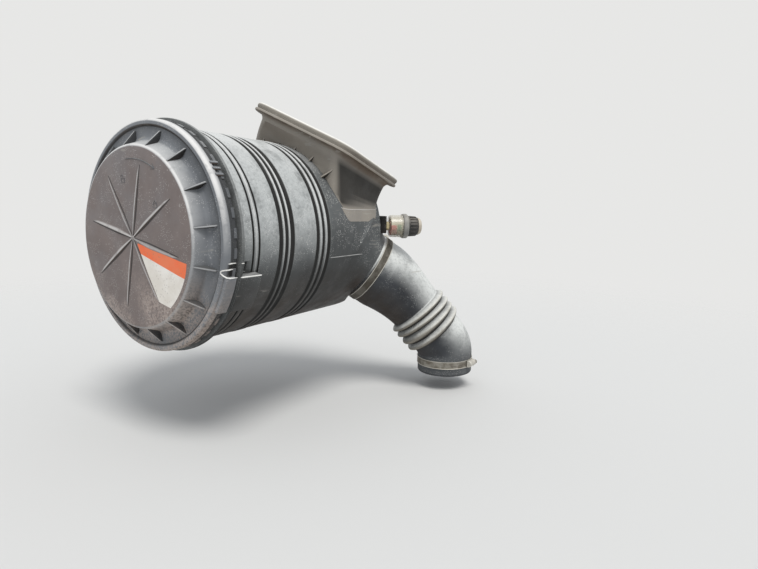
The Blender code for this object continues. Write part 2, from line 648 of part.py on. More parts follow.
def make_seal(mat, parent):
    """Bulb seal round the mouth: a bulb on a flat foot, pressed flat where the other duct rests."""
    normal = mouth_frame()[2]
    path = mouth_ring(SEAL_R, SEAL_R)
    middle = sum(path, Vector()) / len(path)
    section = [(-SEAL_BASE, -SEAL_R + GAP), (SEAL_BASE, -SEAL_R + GAP)]
    section += [(SEAL_R * math.cos(t), SEAL_R * math.sin(t))
                for t in (math.radians(v) for v in SEAL_ANGLES)]
    rings = []
    for i, point in enumerate(path):
        along = (path[(i + 1) % len(path)] - path[i - 1]).normalized()
        outward = along.cross(normal).normalized()
        if outward.dot(point - middle) < 0:
            outward = -outward
        rings.append([point + outward * u + normal * v for u, v in section])
    return piece("inlet_seal", loft(rings, cap=False), mat, parent)


# Outlet hose

def hermite(p0, p1, t0, t1, t):
    t2, t3 = t * t, t * t * t
    return (p0 * (2 * t3 - 3 * t2 + 1) + t0 * (t3 - 2 * t2 + t)
            + p1 * (3 * t2 - 2 * t3) + t1 * (t3 - t2))


def hose_line():
    """Middle line of the hose as a dense list of points."""
    start = OUTLET_POINT + OUTLET_AXIS * HOSE_START
    bend = OUTLET_POINT + OUTLET_AXIS * SPIGOT_END
    collar = HOSE_END - ENGINE_AXIS * ENGINE_COLLAR
    spans = [(start, bend, OUTLET_AXIS, OUTLET_AXIS),
             (bend, BELLOWS_MIDDLE, OUTLET_AXIS, BELLOWS_AXIS),
             (BELLOWS_MIDDLE, collar, BELLOWS_AXIS, ENGINE_AXIS),
             (collar, HOSE_END, ENGINE_AXIS, ENGINE_AXIS)]
    points = []
    for p0, p1, t0, t1 in spans:
        size = (p1 - p0).length
        for k in range(LINE_STEPS):
            points.append(hermite(p0, p1, t0 * size, t1 * size, k / LINE_STEPS))
    points.append(HOSE_END.copy())
    return points


def along_line(points):
    lengths = [0.0]
    for a, b in zip(points, points[1:]):
        lengths.append(lengths[-1] + (b - a).length)
    return lengths


def sample(points, lengths, s):
    s = min(max(s, 0.0), lengths[-1])
    for i in range(1, len(lengths)):
        if lengths[i] >= s:
            f = (s - lengths[i - 1]) / (lengths[i] - lengths[i - 1])
            return points[i - 1].lerp(points[i], f), (points[i] - points[i - 1]).normalized()
    return points[-1], (points[-1] - points[-2]).normalized()


def hose_stations(total, middle):
    """Distance along the hose and outer radius, from the cuff to the engine's pipe."""
    half = BELLOWS_FOLDS * BELLOWS_PITCH / 2
    cuff, cuff_end = SPIGOT_R + GAP + HOSE_WALL, SPIGOT_END - HOSE_START
    rows = [(0.0, cuff), (cuff_end, cuff), (cuff_end + 12 * MM, cuff - 3 * MM),
            (0.5 * (SPIGOT_END + middle - half), 0.5 * (cuff + HOSE_TUBE_R) - 2 * MM),
            (middle - half - 6 * MM, HOSE_TUBE_R)]
    for k in range(BELLOWS_FOLDS):
        s = middle - half + BELLOWS_PITCH * k
        rows += [(s, HOSE_TUBE_R + 1.5 * MM), (s + 0.32 * BELLOWS_PITCH, BELLOWS_R),
                 (s + 0.62 * BELLOWS_PITCH, BELLOWS_R)]
    rows += [(middle + half, HOSE_TUBE_R + MM), (total - ENGINE_COLLAR, HOSE_END_R), (total, HOSE_END_R)]
    return rows


def hose_rings(rows, offset=0.0):
    points = hose_line()
    lengths = along_line(points)
    rings = []
    side = OUTLET_AXIS.cross(Vector((0, 0, 1)))
    for s, r in rows:
        centre, along = sample(points, lengths, s)
        side = (side - along * side.dot(along)).normalized()     # carried along without twist
        other = along.cross(side)
        ring = []
        for k in range(HOSE_SEGMENTS):
            t = 2 * math.pi * k / HOSE_SEGMENTS
            ring.append(centre + (side * math.cos(t) + other * math.sin(t)) * (r + offset))
        rings.append(ring)
    return rings


def make_hose(mat, parent):
    points = hose_line()
    lengths = along_line(points)
    rows = hose_stations(lengths[-1], lengths[2 * LINE_STEPS])
    outer = hose_rings(rows)
    inner = hose_rings(rows, -HOSE_WALL)
    return piece("outlet_hose", loft(outer + inner[::-1], cap=False), mat, parent)


def make_clamp(name, centre, axis, radius, mats, parent, screw_angle):
    """A worm drive band with its screw housing and screw."""
    place = frame_along(axis, centre)
    half = BAND_WIDTH / 2
    inner, outer = radius + GAP, radius + GAP + BAND_THICK
    band = turned([(-half, inner), (-half, outer), (half, outer), (half, inner)], HOSE_SEGMENTS, place)
    piece(name + "_band", band, mats["steel"], parent)
    turn = place @ Matrix.Rotation(math.radians(screw_angle), 4, "X")
    low, reach = outer + GAP, SCREW_HOUSING_LENGTH / 2
    housing = box((-half, -reach, low), (half, reach, low + SCREW_HOUSING_HEIGHT))
    bmesh.ops.transform(housing, matrix=turn, verts=housing.verts)
    body = piece(name + "_screw_housing", housing, mats["steel"], parent)
    across, middle = Vector((0, 1, 0)), Vector((0, 0, low + SCREW_HEIGHT))
    hole = cylinder(across, middle, SCREW_R + GAP, -reach - CUT_PAST, reach + CUT_PAST, 12)
    bmesh.ops.transform(hole, matrix=turn, verts=hole.verts)
    boolean(body, tool(name + "_screw_hole", hole, parent), "DIFFERENCE")
    head, end = reach + GAP, reach + GAP + SCREW_HEAD_LENGTH
    profile = [(2 * MM - reach, 0), (2 * MM - reach, SCREW_R), (head, SCREW_R), (head, SCREW_HEAD_R),
               (end, SCREW_HEAD_R), (end, 0)]
    screw = turned(profile, 12, frame_along(across, middle))
    bmesh.ops.transform(screw, matrix=turn, verts=screw.verts)
    piece(name + "_screw", screw, mats["zinc"], parent)


# Restriction indicator

def make_indicator(mats, parent):
    axis = INDICATOR_AXIS
    side = Vector((-axis.y, axis.x, 0))         # points backwards along the seat's slant
    base = INDICATOR_POINT
    seat = base - axis * HEX_THICK
    rear, front = seat + side * BLOCK_SEAT / 2, seat - side * BLOCK_SEAT / 2
    back = SHELL_END + GAP
    outline = [(back, rear.y + BLOCK_TAIL), (rear.x, rear.y + BLOCK_TAIL), (rear.x, rear.y),
               (front.x, front.y), (back, front.y)]
    z0 = base.z - BLOCK_DROP
    rings = [[Vector((x, y, z)) for x, y in outline] for z in (z0, z0 + BLOCK_HEIGHT)]
    block = piece("indicator_block", loft(rings), mats["black"], parent)
    boolean(block, tool("block_seat", outlet_room(), parent), "DIFFERENCE")
    place = frame_along(axis, base)
    piece("indicator_hex", hexagon(axis, base, HEX_R, -HEX_THICK + GAP, -GAP), mats["cream"], parent)
    r, t = INDICATOR_R, INDICATOR_WALL
    body = INDICATOR_LENGTH
    ring = body + INDICATOR_RING
    cap = ring + INDICATOR_CAP
    button = cap + BUTTON_LENGTH
    shells = [("indicator_body", mats["clear"], [(0, 0), (0, r - t), (t, r), (body, r + t / 2),
                                                 (body, r - t), (t, r - 1.5 * t), (t, 0)]),
              ("indicator_gauge", mats["red"], [(t + GAP, 0), (t + GAP, r - 2 * t),
                                                (body - t / 2, r - 2 * t), (body - t / 2, 0)]),
              ("indicator_ring", mats["grey"], [(body + GAP, r - 3 * t), (body + GAP, r + 1.25 * t),
                                                (ring - t, r + 1.25 * t), (ring, r + t / 2),
                                                (ring, r - 3 * t)]),
              ("indicator_cap", mats["black"], [(body + GAP, 0), (body + GAP, r - 3 * t - GAP),
                                                (ring + GAP, r - 3 * t - GAP), (ring + GAP, r - t / 2),
                                                (cap - 2 * t, r - t), (cap, r - 1.8 * t), (cap, 0)]),
              ("indicator_button", mats["tan"], [(cap + GAP, 0), (cap + GAP, BUTTON_R),
                                                 (button - t, BUTTON_R), (button, BUTTON_R - t), (button, 0)])]
    for name, mat, profile in shells:
        piece(name, turned(profile, 24, place), mat, parent)


# Mounting bracket and bolts

def make_bracket(mats, parent):
    x0, x1 = FOOT_STATIONS[0] - BRACKET_END, FOOT_STATIONS[-1] + BRACKET_END
    z1 = FOOT_Z + BRACKET_SIDE
    t = BRACKET_THICK
    plate = box((x0, AXIS_OFFSET - t, -z1), (x1, AXIS_OFFSET, z1))
    bracket = piece("mount_bracket", plate, mats["steel_paint"], parent)
    adds = bmesh.new()
    for side in (-1, 1):
        lip = box((x0, AXIS_OFFSET - BRACKET_LIP, side * z1 - (t if side > 0 else 0)),
                  (x1, AXIS_OFFSET - t / 2, side * z1 + (0 if side > 0 else t)))
        join(adds, lip)
    boolean(bracket, tool("bracket_lips", adds, parent), "UNION")
    pads = bmesh.new()
    for x in FOOT_STATIONS:
        for side in (-1, 1):
            h, v = STAND_OFF_SIZE / 2, STAND_OFF_HEIGHT / 2
            join(pads, box((x - h, FOOT_FACE + GAP, side * FOOT_Z - v),
                           (x + h, AXIS_OFFSET - t / 2, side * FOOT_Z + v)))
    boolean(bracket, tool("bracket_pads", pads, parent), "UNION")
    holes = bmesh.new()
    for x in FOOT_STATIONS:
        for side in (-1, 1):
            h, v = STAND_OFF_SIZE / 2 - t, STAND_OFF_HEIGHT / 2 - t
            join(holes, box((x - h, FOOT_FACE + GAP + t, side * FOOT_Z - v),
                            (x + h, AXIS_OFFSET + CUT_PAST, side * FOOT_Z + v)))
    for x in (MOUNT_STATION - STUD_X, MOUNT_STATION + STUD_X):
        for z in (-STUD_Z, STUD_Z):
            join(holes, cylinder(Vector((0, 1, 0)), Vector((x, AXIS_OFFSET, z)), STUD_HOLE_R,
                                 -CUT_PAST, CUT_PAST, 16))
    boolean(bracket, tool("bracket_pockets", holes, parent), "DIFFERENCE")
    drill = bmesh.new()
    for x in FOOT_STATIONS:
        for side in (-1, 1):
            join(drill, cylinder(Vector((0, 1, 0)), Vector((x, FOOT_FACE, side * FOOT_Z)), BOLT_R + GAP,
                                 -MM, 2 * t, 12))
    boolean(bracket, tool("bracket_drill", drill, parent), "DIFFERENCE")
    seat = FOOT_FACE + GAP + t + GAP
    number = 0
    for x in FOOT_STATIONS:
        for side in (-1, 1):
            number += 1
            place = frame_along(Vector((0, 1, 0)), Vector((x, seat, side * FOOT_Z)))
            bolt = [(-BOLT_DEPTH - t, 0), (-BOLT_DEPTH - t, BOLT_R), (0, BOLT_R), (0, BOLT_HEAD_R),
                    (BOLT_HEAD_THICK, BOLT_HEAD_R), (BOLT_HEAD_THICK, 0)]
            piece(f"mount_bolt_{number}", turned(bolt, 12, place), mats["zinc"], parent)


def make_element(mat, parent):
    back = SHELL_END - WALL - GAP
    profile = [(ELEMENT_START, 0), (ELEMENT_START, ELEMENT_R), (back, ELEMENT_R), (back, ELEMENT_BORE),
               (ELEMENT_START + ELEMENT_CAP, ELEMENT_BORE), (ELEMENT_START + ELEMENT_CAP, 0)]
    return piece("filter_element", turned(profile, 48), mat, parent)


def main():
    clear_scene()
    axis = bpy.data.objects.new("canister_axis", None)
    axis.location = (-MOUNT_STATION, -AXIS_OFFSET, 0)
    bpy.context.scene.collection.objects.link(axis)
    twist = bpy.data.objects.new("cover_twist_axis", None)
    twist.parent = axis
    bpy.context.scene.collection.objects.link(twist)
    mats = {
        "plastic": material("housing_plastic", (0.16, 0.165, 0.17), 0.6),
        "cover": material("cover_plastic", (0.12, 0.11, 0.105), 0.6),
        "duct": material("duct_plastic", (0.11, 0.098, 0.085), 0.65),
        "rubber": material("hose_rubber", (0.12, 0.13, 0.14), 0.75),
        "seal": material("seal_rubber", (0.2, 0.19, 0.17), 0.8),
        "steel": material("band_steel", (0.55, 0.54, 0.5), 0.4, 1.0),
        "steel_paint": material("bracket_steel", (0.03, 0.03, 0.032), 0.5),
        "zinc": material("bolt_zinc", (0.5, 0.5, 0.48), 0.4, 1.0),
        "black": material("indicator_black", (0.03, 0.03, 0.03), 0.5),
        "cream": material("fitting_cream", (0.6, 0.55, 0.42), 0.5),
        "clear": material("indicator_clear", (0.55, 0.53, 0.45), 0.3),
        "red": material("gauge_red", (0.5, 0.08, 0.06), 0.5),
        "grey": material("indicator_grey", (0.3, 0.3, 0.3), 0.5),
        "tan": material("button_tan", (0.4, 0.33, 0.22), 0.6),
        "paper": material("element_paper", (0.5, 0.42, 0.28), 0.9),
    }
    make_housing(mats["plastic"], axis)
    make_cover(mats["cover"], twist)
    make_duct(mats["duct"], axis)
    make_seal(mats["seal"], axis)
    make_hose(mats["rubber"], axis)
    cuff = SPIGOT_R + GAP + HOSE_WALL
    make_clamp("cuff_clamp", OUTLET_POINT + OUTLET_AXIS * CUFF_CLAMP, OUTLET_AXIS, cuff, mats, axis,
               CUFF_SCREW_ANGLE)
    make_clamp("engine_clamp", HOSE_END - ENGINE_AXIS * ENGINE_CLAMP, ENGINE_AXIS, HOSE_END_R, mats, axis,
               ENGINE_SCREW_ANGLE)
    make_indicator(mats, axis)
    make_bracket(mats, axis)
    make_element(mats["paper"], axis)


main()
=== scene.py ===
"""Looks of a school bus's engine air cleaner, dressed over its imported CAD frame.

Lengths are metres. Shapes are written in the canister's own frame: X is the station along the
axis, counted from the cover's face, and Y and Z are measured from the axis. CANISTER moves them
into the frame of the CAD model. Angles round the axis count from the front (-Y) up to +Z.
"""
import math

import bmesh
import bpy
from mathutils import Matrix, Vector, noise


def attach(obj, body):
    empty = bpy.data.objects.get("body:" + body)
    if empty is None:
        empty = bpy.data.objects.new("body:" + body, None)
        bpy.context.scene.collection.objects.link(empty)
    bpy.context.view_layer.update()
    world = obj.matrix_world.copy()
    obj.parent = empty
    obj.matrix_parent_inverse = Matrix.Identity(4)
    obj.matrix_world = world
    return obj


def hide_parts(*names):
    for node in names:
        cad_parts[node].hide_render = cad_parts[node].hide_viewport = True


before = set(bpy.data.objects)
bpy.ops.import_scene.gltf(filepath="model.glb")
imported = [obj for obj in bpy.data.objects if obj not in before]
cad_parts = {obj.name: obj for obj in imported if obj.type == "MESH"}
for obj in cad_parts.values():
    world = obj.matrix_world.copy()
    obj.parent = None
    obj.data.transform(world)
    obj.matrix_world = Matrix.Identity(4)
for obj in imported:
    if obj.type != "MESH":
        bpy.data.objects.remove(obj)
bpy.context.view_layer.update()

MM = 0.001
GAP = 0.3 * MM
CANISTER = Matrix.Translation((-0.215, -0.205, 0.0))

# Sizes shared with the CAD model
COLLAR_START, COLLAR_R = 30 * MM, 158.5 * MM
WALL = 3.5 * MM
RING_START, RING_END, RING_R = 48 * MM, 52.5 * MM, 170 * MM
SHELL_R, SHELL_TAPER, SHELL_END = 160.5 * MM, 0.029, 398 * MM
FACE_R, FLANGE_STATION, SKIRT_R = 129.4 * MM, 23.7 * MM, 166.5 * MM
FOOT_STATIONS, FOOT_Z, FOOT_FACE = (125 * MM, 305 * MM), 62 * MM, 172 * MM
BRACKET_THICK = 4 * MM
SKIRT_END = RING_START - 5 * MM
PILOT_R, PILOT_END = COLLAR_R - WALL - 0.5 * MM, 40 * MM
OUTLET_POINT = Vector((0.417, -0.094, -0.060))
OUTLET_AXIS = Vector((0.62, -0.56, -0.55)).normalized()
CONE_R, CONE_BACK, CONE_ROOT = 104 * MM, -44 * MM, -100 * MM
SPIGOT_R, LIP_R, SPIGOT_END, LIP_THICK = 61.5 * MM, 68 * MM, 45 * MM, 4 * MM
HOSE_WALL = 4.5 * MM
CUFF_R = SPIGOT_R + GAP + HOSE_WALL
ENGINE_AXIS = Vector((0.02, 0, -1)).normalized()
HOSE_END = Vector((0.532, -0.218, -0.274))
HOSE_END_R, TUBE_R, BELLOWS_R = 53.5 * MM, 52.5 * MM, 62 * MM
BELLOWS_MIDDLE = Vector((0.503, -0.186, -0.172))
BELLOWS_FOLDS, BELLOWS_PITCH = 4, 15 * MM
ENGINE_COLLAR = 36 * MM
BAND_HALF, BAND_THICK = 7 * MM, 1.2 * MM
INDICATOR_POINT = Vector((0.4128, -0.156, 0.0133))
INDICATOR_AXIS = Vector((0.72, -0.69, 0.0)).normalized()
ELEMENT_START, ELEMENT_R, ELEMENT_BORE, ELEMENT_CAP = 16 * MM, 104 * MM, 60 * MM, 12 * MM


def dress(obj, body, slot, mat, *replaced):
    """Give a piece its material, the body that it rides on and the nodes that it stands for."""
    obj.data.materials.clear()
    obj.data.materials.append(mat)
    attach(obj, body)
    if replaced:
        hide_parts(*replaced)


# Geometry helpers

def clamp(value, low=0.0, high=1.0):
    return min(high, max(low, value))


def circle(count):
    return [2 * math.pi * k / count for k in range(count)]


def radial(angle, radius, station=0.0):
    a = math.radians(angle)
    return Vector((station, -radius * math.cos(a), radius * math.sin(a)))


def spin(angle):
    """Matrix that turns a point at the front to an angle round the axis."""
    return Matrix.Rotation(-math.radians(angle), 4, "X")


def shell_radius(station):
    return SHELL_R - SHELL_TAPER * (station - RING_END)


def frame_along(axis, origin):
    """Matrix whose local X is the axis."""
    side = axis.cross(Vector((0, 0, 1))).normalized()
    up = side.cross(axis)
    return Matrix.Translation(origin) @ Matrix((axis, -side, up)).transposed().to_4x4()


def add_object(name, data):
    obj = bpy.data.objects.new(name, data)
    bpy.context.scene.collection.objects.link(obj)
    return obj


def smooth(mesh, sharp_angle=32):
    mesh.shade_smooth()
    mesh.set_sharp_from_angle(angle=math.radians(sharp_angle))


def add_mesh(name, verts, faces, matrix=None, sharp_angle=32):
    """A piece from points in the canister's frame, or in the frame of a matrix there."""
    mesh = bpy.data.meshes.new(name)
    mesh.from_pydata([tuple(v) for v in verts], [], faces)
    bm = bmesh.new()
    bm.from_mesh(mesh)
    bmesh.ops.remove_doubles(bm, verts=bm.verts, dist=1e-7)
    bmesh.ops.recalc_face_normals(bm, faces=bm.faces)
    bm.transform(CANISTER @ matrix if matrix else CANISTER)
    bm.to_mesh(mesh)
    bm.free()
    smooth(mesh, sharp_angle)
    return add_object(name, mesh)


def merge(name, parts):
    """Join objects into one piece."""
    bm = bmesh.new()
    for part in parts:
        bm.from_mesh(part.data)
    mesh = bpy.data.meshes.new(name)
    bm.to_mesh(mesh)
    bm.free()
    for part in parts:
        bpy.data.objects.remove(part, do_unlink=True)
    smooth(mesh)
    return add_object(name, mesh)


def turned(name, profile, segments, matrix=None):
    """Turn (station, radius) points round X; a point of radius 0 closes on the axis."""
    verts, rows = [], []
    for x, r in profile:
        if r <= 1e-9:
            rows.append([len(verts)] * segments)
            verts.append((x, 0, 0))
        else:
            rows.append(range(len(verts), len(verts) + segments))
            verts += [(x, -r * math.cos(t), r * math.sin(t)) for t in circle(segments)]
    pairs = list(zip(rows, rows[1:]))
    if profile[0][1] > 0 and profile[-1][1] > 0:
        pairs.append((rows[-1], rows[0]))
    faces = []
    for lower, upper in pairs:
        for k in range(segments):
            j = (k + 1) % segments
            face = list(dict.fromkeys((lower[k], lower[j], upper[j], upper[k])))
            if len(face) > 2:
                faces.append(face)
    return add_mesh(name, verts, faces, matrix)


def capped(outline):
    """Close an outline on the axis at both its ends."""
    on_axis = (0,) * (len(outline[0]) - 1)
    return [(outline[0][0], *on_axis), *outline, (outline[-1][0], *on_axis)]


def rounded(corners, steps=4):
    """Outline from (x, y, radius) corners; each corner becomes an arc of its radius."""
    points = []
    for i, (x, y, radius) in enumerate(corners):
        corner = Vector((x, y))
        if radius <= 0 or i in (0, len(corners) - 1):
            points.append((x, y))
            continue
        to_before = Vector(corners[i - 1][:2]) - corner
        to_after = Vector(corners[i + 1][:2]) - corner
        half = to_before.angle(to_after) / 2
        reach = min(radius / math.tan(half), 0.49 * to_before.length, 0.49 * to_after.length)
        a, b = corner + to_before.normalized() * reach, corner + to_after.normalized() * reach
        for k in range(steps + 1):
            t = k / steps
            points.append(tuple(a * (1 - t) ** 2 + corner * 2 * t * (1 - t) + b * t * t))
    return points


def loft(name, rings, matrix=None, wrap=False, sharp_angle=32):
    """Skin rings of equal length; cap the ends, or wrap the last ring to the first."""
    count = len(rings[0])
    verts = [p for ring in rings for p in ring]
    faces = []
    for i in range(len(rings) if wrap else len(rings) - 1):
        a, b = i * count, (i + 1) % len(rings) * count
        for k in range(count):
            j = (k + 1) % count
            faces.append((a + k, a + j, b + j, b + k))
    if not wrap:
        faces += [tuple(reversed(range(count))), tuple(range(len(verts) - count, len(verts)))]
    return add_mesh(name, verts, faces, matrix, sharp_angle)


def bead(name, points, radius, sides=8):
    """A thin round line along points, finer at its ends."""
    rings = []
    last = len(points) - 1
    for i, point in enumerate(points):
        along = (points[min(i + 1, last)] - points[max(i - 1, 0)]).normalized()
        side = along.cross(Vector((1, 0.2, 0.3))).normalized()
        other = along.cross(side)
        size = radius * (0.5 if i in (0, last) else 1.0)
        rings.append([point + (side * math.cos(t) + other * math.sin(t)) * size for t in circle(sides)])
    return loft(name, rings, sharp_angle=60)


def arc_block(name, radii, stations, angles, step=1.5):
    """A block between two radii, two stations and two angles."""
    (r0, r1), (x0, x1), (a0, a1) = radii, stations, angles
    count = max(2, math.ceil((a1 - a0) / step) + 1)
    section = ((x0, r0), (x1, r0), (x1, r1), (x0, r1))
    return loft(name, [[radial(a0 + (a1 - a0) * i / (count - 1), r, x) for x, r in section]
                       for i in range(count)])


def box(name, low, high, matrix=None):
    (x0, y0, z0), (x1, y1, z1) = low, high
    ring = [(x0, y0), (x1, y0), (x1, y1), (x0, y1)]
    return loft(name, [[Vector((x, y, z)) for x, y in ring] for z in (z0, z1)], matrix)


def fin(matrix, outline, half, edge):
    """A thin plate with rounded edges that stands on the axis, from (station, radius) points."""
    rings = [[Vector((x, -r, side * half)) for x, r in outline] for side in (-1, 1)]
    return bevel(loft("fin", rings, matrix), edge)


def apply_modifiers(obj):
    graph = bpy.context.evaluated_depsgraph_get()
    mesh = bpy.data.meshes.new_from_object(obj.evaluated_get(graph))
    obj.modifiers.clear()
    obj.data = mesh


def boolean(obj, operation, other):
    mod = obj.modifiers.new(operation, "BOOLEAN")
    mod.operation, mod.solver, mod.object = operation, "EXACT", other
    apply_modifiers(obj)
    bpy.data.objects.remove(other, do_unlink=True)


def add_bevel(obj, width, segments, angle):
    mod = obj.modifiers.new("edges", "BEVEL")
    mod.width, mod.segments, mod.limit_method = width, segments, "ANGLE"
    mod.angle_limit = math.radians(angle)


def bevel(obj, width, segments=2):
    add_bevel(obj, width, segments, 35)
    apply_modifiers(obj)
    smooth(obj.data, 40)
    return obj


def local(vert, matrix=CANISTER):
    """A mesh point in the canister's frame, or in another."""
    return matrix.inverted() @ vert.co


def canister_point(vert):
    """Station, radius and angle in degrees of a mesh point."""
    p = local(vert)
    return p.x, math.hypot(p.y, p.z), math.degrees(math.atan2(p.z, -p.y))


def paint(obj, **layers):
    """Store a number or value(vertex) on every point, for a material to read."""
    for name, value in layers.items():
        layer = obj.data.attributes.new(name, "FLOAT", "POINT")
        for i, vert in enumerate(obj.data.vertices):
            layer.data[i].value = value(vert) if callable(value) else value


# Materials

def tone(code):
    """Linear colour of an sRGB code such as 8a8a88."""
    parts = [int(code[i:i + 2], 16) / 255 for i in (0, 2, 4)]
    return [c / 12.92 if c <= 0.04045 else ((c + 0.055) / 1.055) ** 2.4 for c in parts]


def feed(tree, socket, value):
    """Link a socket to a socket, or set it to a number or colour."""
    if isinstance(value, bpy.types.NodeSocket):
        tree.links.new(value, socket)
    elif isinstance(value, (list, tuple)) and socket.type == "RGBA":
        socket.default_value = (*value[:3], 1.0)
    else:
        socket.default_value = value


def add_node(tree, kind, inputs, output=0, **settings):
    """Add a node with its settings, feed its inputs and return one of its outputs."""
    node = tree.nodes.new("ShaderNode" + kind)
    for name, value in settings.items():
        setattr(node, name, value)
    for socket, value in inputs.items():
        feed(tree, node.inputs[socket], value)
    return node.outputs[output]


class Paint:
    """A node material; each method adds nodes and returns their output."""

    def __init__(self, name, roughness=0.6, metallic=0.0, specular=0.4):
        self.material = bpy.data.materials.new(name)
        self.material.use_nodes = True
        self.tree = self.material.node_tree
        self.shader = self.tree.nodes["Principled BSDF"]
        self.set(Roughness=roughness, Metallic=metallic)
        self.shader.inputs["Specular IOR Level"].default_value = specular
        coords = self.tree.nodes.new("ShaderNodeTexCoord")
        self.point, self.normal = coords.outputs["Object"], coords.outputs["Normal"]

    def set(self, **inputs):
        for name, value in inputs.items():
            feed(self.tree, self.shader.inputs[name], value)

    def add(self, *args, **settings):
        return add_node(self.tree, *args, **settings)

    def noise(self, scale, detail=4.0, rough=0.55, stretch=None):
        point = self.point
        if stretch:
            point = self.add("Mapping", {"Vector": point, "Scale": stretch})
        return self.add("TexNoise", {"Vector": point, "Scale": scale, "Detail": detail,
                                     "Roughness": rough}, "Fac")

    def attribute(self, name):
        return self.add("Attribute", {}, "Fac", attribute_name=name)

    def axis(self, vector, index):
        return self.add("SeparateXYZ", {0: vector}, index)

    def times(self, a, b, operation="MULTIPLY"):
        return self.add("Math", {0: a, 1: b}, operation=operation, use_clamp=True)

    def span(self, value, low, high, start=0.0, stop=1.0):
        """Move a value smoothly from start to stop as it goes from low to high."""
        return self.add("MapRange", {0: value, 1: low, 2: high, 3: start, 4: stop},
                        interpolation_type="SMOOTHSTEP")

    def cloud(self, scale, detail, low, high, start=0.0, stop=1.0, rough=0.55, stretch=None):
        """Soft patches of noise."""
        return self.span(self.noise(scale, detail, rough, stretch), low, high, start, stop)

    def speckle(self, scale, size, share):
        """Small round spots: size is their radius in cells, share thins them out."""
        cells = self.add("TexVoronoi", {"Vector": self.point, "Scale": scale}, "Distance")
        return self.times(self.span(cells, size, size * 0.4),
                          self.cloud(scale * 0.11, 2.0, 1 - share, 1.08 - share))

    def mix(self, amount, a, b):
        return self.add("Mix", {0: amount, 6: a, 7: b}, 2, data_type="RGBA")

    def mottle(self, first, second, scale, detail=5.0, rough=0.55):
        return self.mix(self.cloud(scale, detail, 0.35, 0.7, rough=rough), tone(first), tone(second))

    def coat(self, colour, code, *masks):
        """Lay a tone over a colour, by the product of masks and shares."""
        amount = masks[0]
        for mask in masks[1:]:
            amount = self.times(amount, mask)
        return self.mix(amount, colour, tone(code))

    def bump(self, height, distance, under=None):
        inputs = {"Height": height, "Distance": distance}
        if under:
            inputs["Normal"] = under
        return self.add("Bump", inputs, "Normal")

    def done(self, colour, roughness=None, normal=None):
        feed(self.tree, self.shader.inputs["Base Color"], colour)
        if roughness:
            self.set(Roughness=roughness)
        if normal:
            self.set(Normal=normal)
        return self.material


def weathered(name, dark, light, dust, grime_and_under_shade, dusty=0.7, spots=0.6, rough=(0.48, 0.75), grain=0.12,
              film=(-0.15, 0.9), scratch=0.5, low_dust=0.0, face=None, thin_after=None, dust_and_top_highlight=0.7,
              highlight_tone="dedddb"):
    """Moulded plastic or rubber under years of dust: pale dust with a painted highlight on top, grime with
    painted shade beneath, scuffs, and painted shade and highlights where points are painted for them.

    film is the range of upward slope over which the dust comes in, dust_and_top_highlight how much pale dust
    and painted highlight lie on top, face the tones of points painted "face", and thin_after the X past which
    it thins out.
    """
    p = Paint(name)
    up = p.axis(p.normal, 2)
    mottle = p.cloud(9.0, 6.0, 0.35, 0.65, rough=0.6)
    colour = p.mix(mottle, tone(dark), tone(light))
    if face:
        colour = p.mix(p.attribute("face"), colour, p.mix(mottle, tone(face[0]), tone(face[1])))
    streak = p.cloud(30.0, 6.0, 0.42, 0.7, rough=0.6, stretch=(1.0, 0.35, 0.35))
    colour = p.coat(colour, light, streak, 0.35)

    lying = [p.span(up, *film), p.cloud(26.0, 9.0, 0.25, 0.55, 0.35, rough=0.72),
             p.cloud(210.0, 5.0, 0.3, 0.55, 0.72, rough=0.7)]
    if thin_after is not None:
        lying.append(p.span(p.axis(p.point, 0), thin_after, thin_after + 15 * MM, 1.0, 0.1))
    colour = p.coat(colour, dust, *lying, dusty)
    # pale dust with a painted highlight on the tops, paler the more a surface faces up
    colour = p.coat(colour, "e3e4e3", p.span(up, 0.55, 0.97), p.cloud(18.0, 6.0, 0.25, 0.55, rough=0.6),
                    dust_and_top_highlight)
    # grime with painted shade on the undersides, darker the more a surface faces down
    colour = p.coat(colour, grime_and_under_shade, p.span(up, -0.1, -0.75), p.cloud(14.0, 7.0, 0.2, 0.6, 0.3, rough=0.6),
                    0.85)
    if low_dust:
        colour = p.coat(colour, "b9aaa0", p.span(p.axis(p.point, 2), -0.03, -0.11),
                        p.cloud(300.0, 5.0, 0.4, 0.56, rough=0.7), p.cloud(16.0, 4.0, 0.3, 0.55), low_dust)

    showing = p.times(p.span(up, -0.45, 0.15, 0.12), spots)
    for code, scale, size, share in (("e2e1dd", 480.0, 0.32, 0.54), ("d9d7d2", 150.0, 0.2, 0.42)):
        colour = p.coat(colour, code, p.speckle(scale, size, share), showing)
    scuff = p.cloud(55.0, 2.0, 0.66, 0.72, rough=0.4, stretch=(0.25, 1.0, 3.2))
    colour = p.coat(colour, "a7a39b", scuff, p.cloud(8.0, 2.0, 0.5, 0.62), scratch)
    # painted shade: near black where points are painted for it, in grooves, slots, folds and on shaded flanks
    colour = p.coat(colour, "161615", p.attribute("groove"))
    # painted highlight: a pale tone where points are painted for it, on lit edges, ridges and crests
    colour = p.coat(colour, highlight_tone, p.attribute("edge"), p.cloud(60.0, 4.0, 0.25, 0.5, 0.5))
    normal = p.bump(p.noise(900.0, 2.0), grain * MM)
    normal = p.bump(p.noise(120.0, 3.0), 0.25 * MM, normal)
    return p.done(colour, p.cloud(35.0, 5.0, 0.3, 0.7, *rough), normal)


